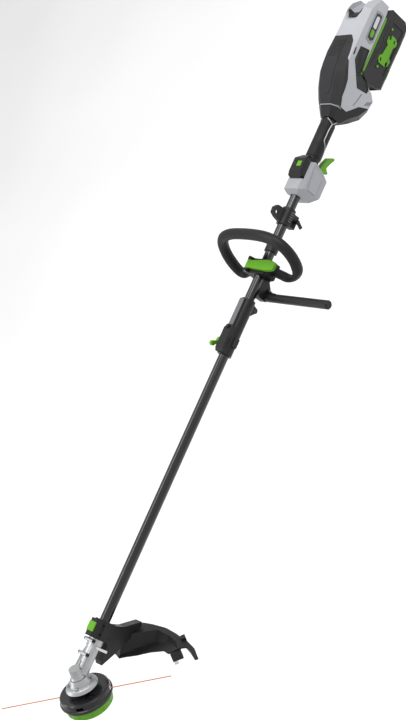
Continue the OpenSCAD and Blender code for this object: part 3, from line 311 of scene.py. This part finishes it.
def tube(points, radius, sides=20, steps=60, up=(0, 0, 1), flat=None):
    """Closed tube along a smooth curve; radius(t) gives its half height, flat(t) its half width."""
    half = flat or radius

    def place(u, v):
        p = curve_point(points, v)
        ahead = (curve_point(points, v + 0.004) - curve_point(points, v - 0.004)).normalized()
        side = ahead.cross(Vector(up)).normalized()
        above = side.cross(ahead)
        a = 2 * math.pi * u
        return p + side * half(v) * math.cos(a) + above * radius(v) * math.sin(a)

    bm = surface(sides, steps, place)
    bmesh.ops.remove_doubles(bm, verts=bm.verts, dist=1e-4)
    bmesh.ops.holes_fill(bm, edges=bm.edges, sides=0)
    return bm


def lathe(profile, steps=72):
    """Turned shape: radius and height points, spun round Z."""
    bm = bmesh.new()
    verts = [bm.verts.new((r, 0, z)) for r, z in profile]
    edges = [bm.edges.new(pair) for pair in zip(verts, verts[1:])]
    bmesh.ops.spin(bm, geom=verts + edges, axis=(0, 0, 1), cent=(0, 0, 0), dvec=(0, 0, 0),
                   angle=2 * math.pi, steps=steps, use_merge=True, use_duplicate=False)
    bmesh.ops.remove_doubles(bm, verts=bm.verts, dist=1e-4)
    bmesh.ops.recalc_face_normals(bm, faces=bm.faces)
    return bm


def rod(start, end, radius, sides=24, tip=None):
    """Round bar from start to end."""
    a, b = Vector(start), Vector(end)
    bm = bmesh.new()
    bmesh.ops.create_cone(bm, cap_ends=True, segments=sides, radius1=radius,
                          radius2=radius if tip is None else tip, depth=(b - a).length)
    turn = (b - a).to_track_quat("Z", "Y").to_matrix().to_4x4()
    bmesh.ops.transform(bm, matrix=Matrix.Translation((a + b) / 2) @ turn, verts=bm.verts)
    return bm


def block(low, high):
    """Box from its lowest to its highest corner."""
    a, b = Vector(low), Vector(high)
    bm = bmesh.new()
    bmesh.ops.create_cube(bm, size=1.0)
    bmesh.ops.scale(bm, vec=b - a, verts=bm.verts)
    bmesh.ops.translate(bm, vec=(a + b) / 2, verts=bm.verts)
    return bm


def joined(parts):
    """One bmesh of several."""
    whole = bmesh.new()
    for bm in parts:
        mesh = bpy.data.meshes.new("part")
        bm.to_mesh(mesh)
        bm.free()
        whole.from_mesh(mesh)
        bpy.data.meshes.remove(mesh)
    return whole


def placed(bm, matrix):
    bmesh.ops.transform(bm, matrix=matrix, verts=bm.verts)
    return bm


def inlay(node, outline, facing, rise, depth=0.8, lowest=-1000.0):
    """Plate that follows a CAD surface inside a convex outline, seen along a facing direction."""
    bm = merged(node)
    facing = Vector(facing)
    corners = [Vector(p) for p in outline]
    middle = sum(corners, Vector()) / len(corners)
    for a, b in zip(corners, corners[1:] + corners[:1]):
        away = (b - a).cross(facing)
        if away.dot(middle - a) > 0:
            away.negate()
        geom = list(bm.verts) + list(bm.edges) + list(bm.faces)
        bmesh.ops.bisect_plane(bm, geom=geom, plane_co=a, plane_no=away, clear_outer=True)
    bm.normal_update()
    hidden = [face for face in bm.faces if face.normal.dot(facing) < 0.2
              or face.calc_center_median().dot(facing) < lowest * MM]
    bmesh.ops.delete(bm, geom=hidden, context="FACES")
    if not bm.faces:
        raise ValueError(f"nothing of {node} lies inside the outline")
    bmesh.ops.translate(bm, vec=facing * rise * MM, verts=bm.verts)
    made = bmesh.ops.extrude_face_region(bm, geom=list(bm.faces), use_keep_orig=True)["geom"]
    bmesh.ops.translate(bm, verts=[g for g in made if isinstance(g, bmesh.types.BMVert)],
                        vec=facing * -(rise + depth) * MM)
    bmesh.ops.recalc_face_normals(bm, faces=bm.faces)
    return bm


def side_points(points, side=1):
    """Places on the side of the tool from pairs along and above the shaft's axis."""
    return [at(x, 40 * side, z) for x, z in points]


def top_points(points, z=50):
    """Places above the tool from pairs along and beside the shaft's axis."""
    return [at(x, y, z) for x, y in points]


def wire(points, radius, sides=8):
    """Closed or open run of straight round bars between places in the frame."""
    return joined([rod(a, b, radius * MM, sides) for a, b in zip(points, points[1:])])


def mirrored(bm):
    """The bmesh and its mirror image on the other side of the shaft."""
    copy = bm.copy()
    bmesh.ops.scale(copy, vec=(1, -1, 1), verts=copy.verts)
    bmesh.ops.reverse_faces(copy, faces=copy.faces)
    return joined([bm, copy])


def shown(nodes, material):
    """Gives CAD nodes that stay as they are their material."""
    for node in nodes:
        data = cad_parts[node].data
        data.materials.clear()
        data.materials.append(material)
        for face in data.polygons:
            face.material_index = 0


# ---------- sizes and colours ----------

class TrimmerColours(bpy.types.PropertyGroup):
    """Colours of the trimmer's finishes."""

    shell: bpy.props.FloatVectorProperty(
        name="Shell grey", description="Motor housing", subtype="COLOR", size=3, min=0, max=1,
        default=linear("ADAFB4"))
    throttle: bpy.props.FloatVectorProperty(
        name="Throttle grey", description="Throttle housing", subtype="COLOR", size=3, min=0, max=1,
        default=linear("9EA0A5"))
    black: bpy.props.FloatVectorProperty(
        name="Black plastic", description="Brackets, coupler and guard", subtype="COLOR", size=3,
        min=0, max=1, default=linear("161618"))
    pad: bpy.props.FloatVectorProperty(
        name="Pad grey", description="Soft pad and battery case", subtype="COLOR", size=3,
        min=0, max=1, default=linear("262628"))
    lime: bpy.props.FloatVectorProperty(
        name="Lime green", description="Controls and trim", subtype="COLOR", size=3,
        min=0, max=1, default=linear("5C9E10"))
    line: bpy.props.FloatVectorProperty(
        name="Line orange", description="Cutting line", subtype="COLOR", size=3,
        min=0, max=1, default=linear("C9621F"))


class TrimmerSizes(bpy.types.PropertyGroup):
    """Sizes of the looks that the frame leaves open."""

    shell_edge: bpy.props.FloatProperty(
        name="Housing edge", description="Rounding of the motor housing's edges, in millimetres",
        default=1.8, min=0.2, max=4)
    moulding_edge: bpy.props.FloatProperty(
        name="Moulding edge", description="Rounding of brackets and clamps, in millimetres",
        default=1.0, min=0.2, max=3)
    floor_drop: bpy.props.FloatProperty(
        name="Floor drop", description="Gap between the lowest piece and the floor",
        default=0.55, min=0.0, max=2, unit="LENGTH")


finishes = {}


def make_finishes(colours):
    """All materials, by the plain name of the finish."""
    black, pad, lime = tuple(colours.black), tuple(colours.pad), tuple(colours.lime)
    finishes.update(
        shell=moulded("shell_grey", tuple(colours.shell), 0.42),
        throttle=moulded("throttle_grey", tuple(colours.throttle), 0.42),
        pad=rubber("pad_rubber", pad, 0.6),
        black=moulded("black_plastic", black, 0.42, depth=0.04),
        # Darker black: the colour of small dark parts, and painted shade where it fills the slot plates
        # on the housing
        dull=moulded("dull_black_plastic", shade(black, 0.55), 0.6),
        battery=moulded("battery_charcoal", shade(pad, 0.9), 0.5, grain=1300.0, depth=0.05),
        lime=moulded("lime_plastic", lime, 0.4),
        bright_lime=moulded("bright_lime_plastic", shade(lime, 1.05), 0.42),
        screen=mesh_screen("vent_screen", shade(black, 1.2)),
        grip=rubber("grip_rubber", shade(black, 0.9), 0.55),
        loop=rubber("loop_grip", shade(black, 0.95), 0.5),
        tube=lacquer("tube_lacquer", shade(black, 0.35)),
        silver=metal("cast_aluminium", (0.5, 0.51, 0.52), 0.4),
        steel=metal("ground_steel", (0.55, 0.56, 0.58), 0.28, (20.0, 900.0, 900.0)),
        plate=metal("zinc_plate", (0.7, 0.71, 0.73), 0.34),
        accent=metal("silver_trim", (0.42, 0.43, 0.45), 0.42),
        copper=windings("stator_windings", (0.72, 0.3, 0.12)),
        nylon=moulded("natural_nylon", (0.62, 0.6, 0.52), 0.5),
        board=moulded("solder_mask", (0.01, 0.14, 0.05), 0.3, grain=2500.0),
        cell=moulded("cell_wrap", (0.08, 0.2, 0.42), 0.3, grain=200.0),
        gloss=moulded("gloss_black_nylon", shade(black, 0.8), 0.3, coat=0.3),
        pale=moulded("pale_insert", linear("C9CBD0"), 0.4),
        line=nylon_line("line_nylon", tuple(colours.line)),
        # Pale grey: the sling bracket's ticks, and a painted highlight as the strip on the coupler's top
        # face
        rib=moulded("rib_grey", linear("6A6B6E"), 0.4),
        badge_rim=moulded("badge_rim_grey", shade(tuple(colours.shell), 0.62), 0.42),
    )


# ---------- stage ----------

class TRIMMER_OT_stage(bpy.types.Operator):
    """Sets up the camera, the floor and the studio lights"""

    bl_idname = "trimmer.stage"
    bl_label = "Stage"

    def execute(self, context):
        scene = context.scene
        scene.view_settings.view_transform = "Standard"
        make_finishes(scene.trimmer_colours)
        lens = bpy.data.cameras.new("camera")
        camera = bpy.data.objects.new("camera", lens)
        scene.collection.objects.link(camera)
        lens.lens, lens.sensor_width = 70.7, 36.0
        lens.clip_end = 50
        right, up, back = (-0.4044, 0.6265, -0.6663), (-0.893, -0.113, 0.4357), (0.1977, 0.7712, 0.6051)
        turn = Matrix((right, up, back)).transposed().to_4x4()
        camera.matrix_world = Matrix.Translation((1.08113, 2.59782, 2.05554)) @ turn
        scene.camera = camera

        world = bpy.data.worlds.new("studio")
        world.use_nodes = True
        back_node = world.node_tree.nodes["Background"]
        back_node.inputs["Color"].default_value = (1, 1, 1, 1)
        back_node.inputs["Strength"].default_value = 0.75
        scene.world = world

        floor_z = cad_box[0][2] - scene.trimmer_sizes.floor_drop
        bm = bmesh.new()
        bmesh.ops.create_circle(bm, cap_ends=True, segments=64, radius=9)
        bmesh.ops.translate(bm, vec=(0.2, 0, floor_z), verts=bm.verts)
        mesh = bpy.data.meshes.new("floor")
        bm.to_mesh(mesh)
        bm.free()
        floor = bpy.data.objects.new("floor", mesh)
        scene.collection.objects.link(floor)
        n = Nodes("studio_floor")
        tone = n.blend(n.ramp(n.noise(1.5), 0.0, 1.0), (0.86, 0.86, 0.86), (0.9, 0.9, 0.9))
        mesh.materials.append(n.set(Base_Color=tone, Roughness=0.9))

        for name, place, target, size, power in (
                ("key_light", (-1.5, 1.2, 3.0), (0.2, 0, 0), (2.2, 1.6), 60),
                ("strip_light", (0.4, -0.9, 2.6), (0.4, 0, 0), (3.4, 0.5), 36),
                ("rim_light", (2.4, -1.6, 1.2), (0.9, 0, 0), (1.2, 1.2), 14)):
            data = bpy.data.lights.new(name, "AREA")
            data.shape = "RECTANGLE"
            data.size, data.size_y = size
            data.energy = power
            light = bpy.data.objects.new(name, data)
            scene.collection.objects.link(light)
            light.location = place
            aim = Vector(target) - Vector(place)
            light.rotation_euler = aim.to_track_quat("-Z", "Y").to_euler()
        return {"FINISHED"}


class TRIMMER_OT_cutting_line(bpy.types.Operator):
    """Makes the two free ends of cutting line"""

    bl_idname = "trimmer.cutting_line"
    bl_label = "Cutting line"

    def execute(self, context):
        reach, thick = 213.0, 2.4
        for side, turn in (("left", 0.0), ("right", math.pi)):
            angle = LINE_ANGLE + turn
            ends = [head_at(r * math.cos(angle), r * math.sin(angle), LINE_LEVEL)
                    for r in (LINE_START, reach)]
            route = [ends[0].lerp(ends[1], k / 16) for k in range(17)]
            bm = tube([tuple(p) for p in route], lambda v: thick / 2 * MM, sides=12, steps=32)
            obj = finish(bm, f"cutting_line_{side}", "head", finishes["line"],
                         nodes=(f"line_{side}",), outward=True)
            tuple(route[0])
            [tuple(p) for p in route]
        return {"FINISHED"}


# ---------- power head ----------

def band(node, x0, x1, proud, lowest=-1000.0):
    """Strip of a CAD shell between two stations along the shaft, pushed out a little."""
    bm = merged(node)
    cuts = ((at(x0, 0, 0), (-1, 0, 0)), (at(x1, 0, 0), (1, 0, 0)), (at(0, 0, lowest), (0, 0, -1)))
    for corner, facing in cuts:
        geom = list(bm.verts) + list(bm.edges) + list(bm.faces)
        bmesh.ops.bisect_plane(bm, geom=geom, plane_co=corner, plane_no=facing, clear_outer=True)
    bmesh.ops.holes_fill(bm, edges=bm.edges, sides=0)
    bmesh.ops.recalc_face_normals(bm, faces=bm.faces)
    middle = at((x0 + x1) / 2, 0, -8)
    for v in bm.verts:
        away = v.co - middle
        away.x = 0
        v.co += away.normalized() * proud * MM
    return bm


class TRIMMER_OT_power_head(bpy.types.Operator):
    """Makes the motor housing, its pad, boot, vents, badge and thumb rest"""

    bl_idname = "trimmer.power_head"
    bl_label = "Power head"

    def execute(self, context):
        edge = context.scene.trimmer_sizes.shell_edge
        f = finishes
        for side in ("left", "right"):
            softened(f"motor_cover_{side}", f"housing_{side}", "main", f["shell"],
                     edge, 14, 3)
        softened("top_pad", "soft_pad", "main", f["pad"], edge, 12, 3)
        softened("front_boot", "boot", "main", f["black"], edge, 12, 3)
        softened("vent_grilles", "vent_screens", "main", f["screen"], 0.5)
        softened("release_button", "battery_release", "release", f["black"], 0.6)
        shown(("motor_stator",), f["copper"])
        shown(("motor_rotor", "motor_bearings"), f["steel"])
        shown(("cooling_fan",), f["black"])
        shown(("control_board",), f["board"])
        shown(("battery_terminals",), f["dull"])

        # Silver ring between the pad and the boot
        finish(band("front_boot", -309.2, -307.0, 0.5, 10), "pad_trim_ring", "main", f["accent"],
               0.3)

        # Raised panel of the pad with its fine ribs
        panel = ((-474, -19), (-474, 19), (-400, 22), (-345, 17), (-330, 9), (-330, -9), (-345, -17),
                 (-400, -22))
        finish(inlay("top_pad", top_points(panel), (0, 0, 1), 1.1), "pad_panel", "main", f["pad"],
               0.5)
        ribs = [inlay("top_pad", top_points(((x, -17), (x, 17), (x + 1.6, 17), (x + 1.6, -17))),
                      (0, 0, 1), 1.9)
                for x in range(-468, -424, 6)]
        finish(joined(ribs), "pad_ribs", "main", f["pad"])

        frame_outline = ((-574, 43), (-578, 30), (-576, 16), (-500, 12.3), (-489, 22), (-495, 41))
        badge_outline = ((-568, 39.5), (-571.5, 30), (-570, 20.5), (-505, 16.5), (-497, 24), (-501, 37))
        pale_outline = ((-561, 35.5), (-564.5, 29.5), (-562, 24.5), (-533, 22.6), (-530, 27), (-532, 34))
        lime_outline = ((-525, 33.6), (-527, 28), (-524, 22.2), (-510, 21.5), (-505, 26.5), (-508, 32.8))
        # The side slot and the belly slots are thin dark plates laid on the housing, not recesses: their
        # dark is painted shade where the slots would be
        slot_outline = ((-457, 57.5), (-459, 54), (-440, 51.5), (-437, 54.5), (-441, 57))
        vent_run = ((-468, 43), (-476, 14), (-421, 9), (-405, -20), (-391, -36), (-382, -34),
                    (-376, 0), (-431, 43), (-468, 43))
        for side, s in (("left", 1), ("right", -1)):
            node, facing = f"motor_cover_{side}", (0, s, 0)
            for name, outline, rise, kind, slot in (
                    ("badge_frame", frame_outline, 1.0, "badge_rim", "shell_light"),
                    ("badge", badge_outline, 1.5, "gloss", "black_plastic"),
                    ("badge_bar", pale_outline, 1.9, "pale", "shell_light"),
                    ("badge_tab", lime_outline, 1.9, "lime", "lime_trim"),
                    ("side_slot_shade", slot_outline, 0.15, "dull", "black_plastic")):
                finish(inlay(node, side_points(outline, s), facing, rise, lowest=30), f"{name}_{side}",
                       "main", f[kind], 0.35)
            # Belly slots: dark plates just proud of the surface, painted shade in place of recessed
            # slots
            slits = [((x, z), (x - 14, z - 6.5), (x - 15, z - 5), (x - 1, z + 1.5))
                     for x, z in ((-352, -46), (-355, -51.5), (-358, -57))]
            slits.append(((-371, -22.8), (-333, -15.8), (-333.4, -14.4), (-371.4, -21)))
            cuts = [inlay(node, side_points(slit, s), facing, 0.12, lowest=20) for slit in slits]
            finish(joined(cuts), f"belly_slot_shade_{side}", "main", f["dull"])
            run = [at(x, 45.9 * s, z) for x, z in vent_run]
            finish(wire(run, 1.4, 10), f"vent_frame_{side}", "main", f["black"])
        return {"FINISHED"}


class TRIMMER_OT_battery(bpy.types.Operator):
    """Makes the battery's case, trim and cells"""

    bl_idname = "trimmer.battery"
    bl_label = "Battery"

    def execute(self, context):
        f = finishes
        softened("battery_case", "battery_shell", "battery", f["battery"], 1.6, 14, 3)
        softened("battery_trim", "battery_plates", "battery", f["lime"], 0.5)
        shown(("battery_cells",), f["cell"])
        relief_runs = (((-585, -16), (-534, -16), (-525, -22), (-505, -24), (-490, -14), (-452, -12)),
                       ((-585, -70), (-520, -71), (-512, -67), (-506, -67), (-498, -71), (-446, -73)))
        for side, s in (("left", 1), ("right", -1)):
            low, high = sorted((41.4 * s, 43.4 * s))
            finish(block(at(-572, low, -0.8), at(-424, high, 5.4)), f"battery_seam_{side}", "battery",
                   f["lime"], 0.6)
            dots = [rod(at(x, 41 * s, z), at(x, 42.5 * s, z), 3.2 * MM)
                    for x, z in ((-568.6, -31), (-461.8, -35))]
            dots += [rod(at(a, 37.2 * s, -80.6), at(b, 37.2 * s, -80.6), 1.3 * MM, 10)
                     for a, b in ((-560, -528), (-478, -452))]
            finish(joined(dots), f"battery_marks_{side}", "battery", f["lime"])
            reliefs = [wire([at(x, 42.0 * s, z) for x, z in run], 0.9) for run in relief_runs]
            finish(joined(reliefs), f"battery_relief_{side}", "battery", f["battery"])
        cap = ((-604, -43), (-604, 43), (-600.5, 43), (-600.5, -43))
        finish(inlay("battery_case", top_points(cap, -40), (0, 0, -1), 0.4), "battery_rib", "battery",
               f["battery"])
        return {"FINISHED"}


class TRIMMER_OT_grip(bpy.types.Operator):
    """Makes the rear grip and its trim"""

    bl_idname = "trimmer.grip"
    bl_label = "Rear grip"

    def execute(self, context):
        f = finishes
        softened("grip_sleeve", "rear_grip", "main", f["grip"], 1.2)

        # Silver accent that runs down each side of the grip and forks at the power head
        def on_grip(x, turn, s):
            angle = math.radians(turn)
            return tuple(at(x, 20.4 * math.sin(angle) * s, 20.4 * math.cos(angle)))

        route = ((-268, 80), (-250, 74), (-236, 74), (-220, 75), (-212, 92), (-204, 112), (-192, 126),
                 (-180, 131), (-168, 132))
        forks = (((-279, 30), (-274, 52), (-268, 80)), ((-282, 116), (-275, 100), (-268, 80)))
        for side, s in (("left", 1), ("right", -1)):
            runs = [tube([on_grip(x, t, s) for x, t in points], lambda v: 1.5 * MM, sides=10,
                         steps=8 * len(points)) for points in (route, *forks)]
            finish(joined(runs), f"grip_accent_{side}", "main", f["accent"], outward=True)
        return {"FINISHED"}


class TRIMMER_OT_throttle(bpy.types.Operator):
    """Makes the throttle housing, control panel, keys and trigger"""

    bl_idname = "trimmer.throttle"
    bl_label = "Throttle"

    def execute(self, context):
        f = finishes
        for side in ("left", "right"):
            softened(f"throttle_housing_{side}", f"throttle_shell_{side}", "main", f["throttle"],
                     2.0, 20, 3)
        softened("control_panel", "key_panel", "main", f["black"], 2.2, 20, 3)
        softened("power_button", "power_key_cap", "power_key", f["bright_lime"], 1.0, 30, 3)
        softened("speed_button", "speed_key_cap", "speed_key", f["pad"], 1.0, 30, 3)
        softened("trigger", "trigger_lever", "trigger", f["lime"], 1.2, 20, 3)
        shown(("trigger_pin",), f["steel"])
        shown(("trigger_switch",), f["dull"])
        edge_run = ((-147, 4), (-142, 7.2), (-83, 0), (-83, -26.5), (-88, -29), (-136, -26), (-147, 4))
        for side, s in (("left", 1), ("right", -1)):
            run = [at(x, 33.4 * s, z) for x, z in edge_run]
            finish(wire(run, 0.9, 10), f"throttle_frame_{side}", "main", f["throttle"])
        return {"FINISHED"}


class TRIMMER_OT_shaft(bpy.types.Operator):
    """Makes the tubes, drive shafts, sling bracket and stop collar"""

    bl_idname = "trimmer.shaft"
    bl_label = "Shaft"

    def execute(self, context):
        f = finishes
        edge = context.scene.trimmer_sizes.moulding_edge
        softened("upper_tube", "upper_shaft", "main", f["tube"], 0.4, 60)
        softened("lower_tube", "lower_shaft", "attachment", f["tube"], 0.4, 60)
        shown(("upper_drive_shaft", "lower_drive_shaft"), f["steel"])
        shown(("upper_bushes", "lower_bushes"), f["nylon"])
        softened("hanger_bracket", "sling_bracket", "main", f["black"], edge)
        softened("hanger_wing_screw", "sling_screw", "hanger_screw", f["black"], 0.8)
        softened("stop_collar", "collar", "main", f["black"], edge)
        ticks = [mirrored(block(at(-17.6 + 6 * k, 17.2, -5.5), at(-15.6 + 6 * k, 18.4, 6)))
                 for k in range(5)]
        finish(joined(ticks), "bracket_ticks", "main", f["rib"], 0.3)
        return {"FINISHED"}


class TRIMMER_OT_handle(bpy.types.Operator):
    """Makes the loop handle, its clamp and lever, and the barrier bar"""

    bl_idname = "trimmer.handle"
    bl_label = "Loop handle"

    def execute(self, context):
        f = finishes
        edge = context.scene.trimmer_sizes.moulding_edge
        softened("loop_handle", "loop", "handle", f["loop"], 1.2, 40)
        softened("handle_base", "clamp_block", "handle", f["black"], edge * 1.5)
        softened("barrier_bar", "bar", "handle", f["black"], 1.2, 40)
        softened("handle_lever", "clamp_lever", "lever", f["lime"], 2.2, 25, 3)
        shown(("lever_pin", "clamp_screws"), f["steel"])
        return {"FINISHED"}


class TRIMMER_OT_coupler(bpy.types.Operator):
    """Makes the coupler, its lock button and wing knob"""

    bl_idname = "trimmer.coupler"
    bl_label = "Coupler"

    def execute(self, context):
        f = finishes
        edge = context.scene.trimmer_sizes.moulding_edge
        softened("coupler_body", "coupler_shell", "main", f["black"], edge)
        softened("lock_button", "lock_cap", "lock", f["dull"], 0.6)
        softened("wing_knob", "clamp_knob", "knob", f["lime"], 1.4)
        # Pale grey strip on the coupler's top face: a painted highlight, a raised plate standing in for
        # the light on that flat face
        rib = ((232, -7.5), (232, 7.5), (303, 7.5), (303, -7.5))
        finish(inlay("coupler_body", top_points(rib), (0, 0, 1), 0.5), "coupler_rib", "main", f["rib"],
               0.3)
        return {"FINISHED"}


class TRIMMER_OT_guard(bpy.types.Operator):
    """Makes the guard, its bracket, badge, blade and bolts"""

    bl_idname = "trimmer.guard"
    bl_label = "Guard"

    def execute(self, context):
        f = finishes
        edge = context.scene.trimmer_sizes.moulding_edge
        softened("guard_bracket", "guard_mount", "attachment", f["black"], edge * 1.6)
        softened("bracket_badge", "mount_badge", "attachment", f["bright_lime"], 1.2, 30, 3)
        softened("clamp_plate", "mount_plate", "attachment", f["plate"], 0.6)
        softened("guard_shell", "guard", "attachment", f["black"], 1.0, 16, 3)
        shown(("cutter_blade",), f["plate"])
        softened("attachment_bolts", "bolts", "attachment", f["dull"], 0.4)
        return {"FINISHED"}


class TRIMMER_OT_gearbox(bpy.types.Operator):
    """Makes the gearbox and its gears"""

    bl_idname = "trimmer.gearbox"
    bl_label = "Gearbox"

    def execute(self, context):
        f = finishes
        softened("gearbox_case", "gearbox", "attachment", f["silver"], 0.8)
        screws = []
        for turn in (35, 145, 215, 325):
            c, d = math.cos(math.radians(turn)), math.sin(math.radians(turn))
            boss = rod((30 * c, 30 * d, -14), (30 * c, 30 * d, -7.6), 4.6, 20)
            head = rod((30 * c, 30 * d, -7.6), (30 * c, 30 * d, -5.2), 3.2, 6)
            screws.append(joined([boss, head]))
        finish(placed(joined(screws), head_matrix()), "flange_screws", "attachment", f["silver"],
               0.4)
        shown(("bevel_pinion", "bevel_gear", "output_spindle", "gearbox_bearings", "bump_spring"),
              f["steel"])
        return {"FINISHED"}


class TRIMMER_OT_line_head(bpy.types.Operator):
    """Makes the line head, its base and bump knob"""

    bl_idname = "trimmer.line_head"
    bl_label = "Line head"

    def execute(self, context):
        f = finishes
        softened("head_housing", "head_shell", "head", f["gloss"], 0.6)
        shown(("line_spool",), f["dull"])
        softened("head_base", "head_skirt", "head", f["lime"], 1.0)
        softened("bump_knob", "bump_cap", "bump", f["gloss"], 1.0)
        eyes = []
        for turn in (0.0, math.pi):
            c, d = math.cos(LINE_ANGLE + turn), math.sin(LINE_ANGLE + turn)
            ring = lathe(((1.4, -2.5), (4.6, -2.5), (4.6, 1.2), (3.2, 2.0), (1.4, 2.0), (1.4, -2.5)), 32)
            spin = Matrix.Rotation(LINE_ANGLE + turn, 4, "Z") @ Matrix.Rotation(math.pi / 2, 4, "Y")
            seat = Matrix.Translation((61.4 * c, 61.4 * d, LINE_LEVEL))
            eyes.append(placed(ring, head_matrix() @ seat @ spin))
        finish(joined(eyes), "line_eyelets", "head", f["steel"], outward=True)
        rings = [lathe(((60.9, -50.6), (62.6, -50.6), (63.0, -52.2), (62.6, -53.8), (60.9, -53.8),
                        (60.9, -50.6)), 96),
                 lathe(((37.5, -34.2), (39.5, -33.0), (45.5, -32.4), (46.5, -34.2), (37.5, -34.2)), 96)]
        finish(placed(joined(rings), head_matrix()), "head_rings", "head", f["gloss"],
               outward=True)
        return {"FINISHED"}


class TRIMMER_PT_panel(bpy.types.Panel):
    """Lists the trimmer's sizes, colours and pieces"""

    bl_idname = "TRIMMER_PT_panel"
    bl_label = "String trimmer"
    bl_space_type = "VIEW_3D"
    bl_region_type = "UI"
    bl_category = "Trimmer"

    def draw(self, context):
        for group in (context.scene.trimmer_sizes, context.scene.trimmer_colours):
            for name in group.__annotations__:
                self.layout.prop(group, name)
        for step in STEPS:
            self.layout.operator(step.bl_idname)


GROUPS = (TrimmerColours, TrimmerSizes)
STEPS = (
    TRIMMER_OT_stage, TRIMMER_OT_cutting_line, TRIMMER_OT_power_head, TRIMMER_OT_battery,
    TRIMMER_OT_grip, TRIMMER_OT_throttle, TRIMMER_OT_shaft, TRIMMER_OT_handle,
    TRIMMER_OT_coupler, TRIMMER_OT_guard, TRIMMER_OT_gearbox, TRIMMER_OT_line_head,
)


def register():
    for kind in GROUPS + STEPS + (TRIMMER_PT_panel,):
        bpy.utils.register_class(kind)
    bpy.types.Scene.trimmer_colours = bpy.props.PointerProperty(type=TrimmerColours)
    bpy.types.Scene.trimmer_sizes = bpy.props.PointerProperty(type=TrimmerSizes)


def unregister():
    del bpy.types.Scene.trimmer_sizes
    del bpy.types.Scene.trimmer_colours
    for kind in reversed(GROUPS + STEPS + (TRIMMER_PT_panel,)):
        bpy.utils.unregister_class(kind)


def main():
    register()
    for step in STEPS:
        group, name = step.bl_idname.split(".")
        getattr(getattr(bpy.ops, group), name)()


if __name__ == "__main__":
    main()
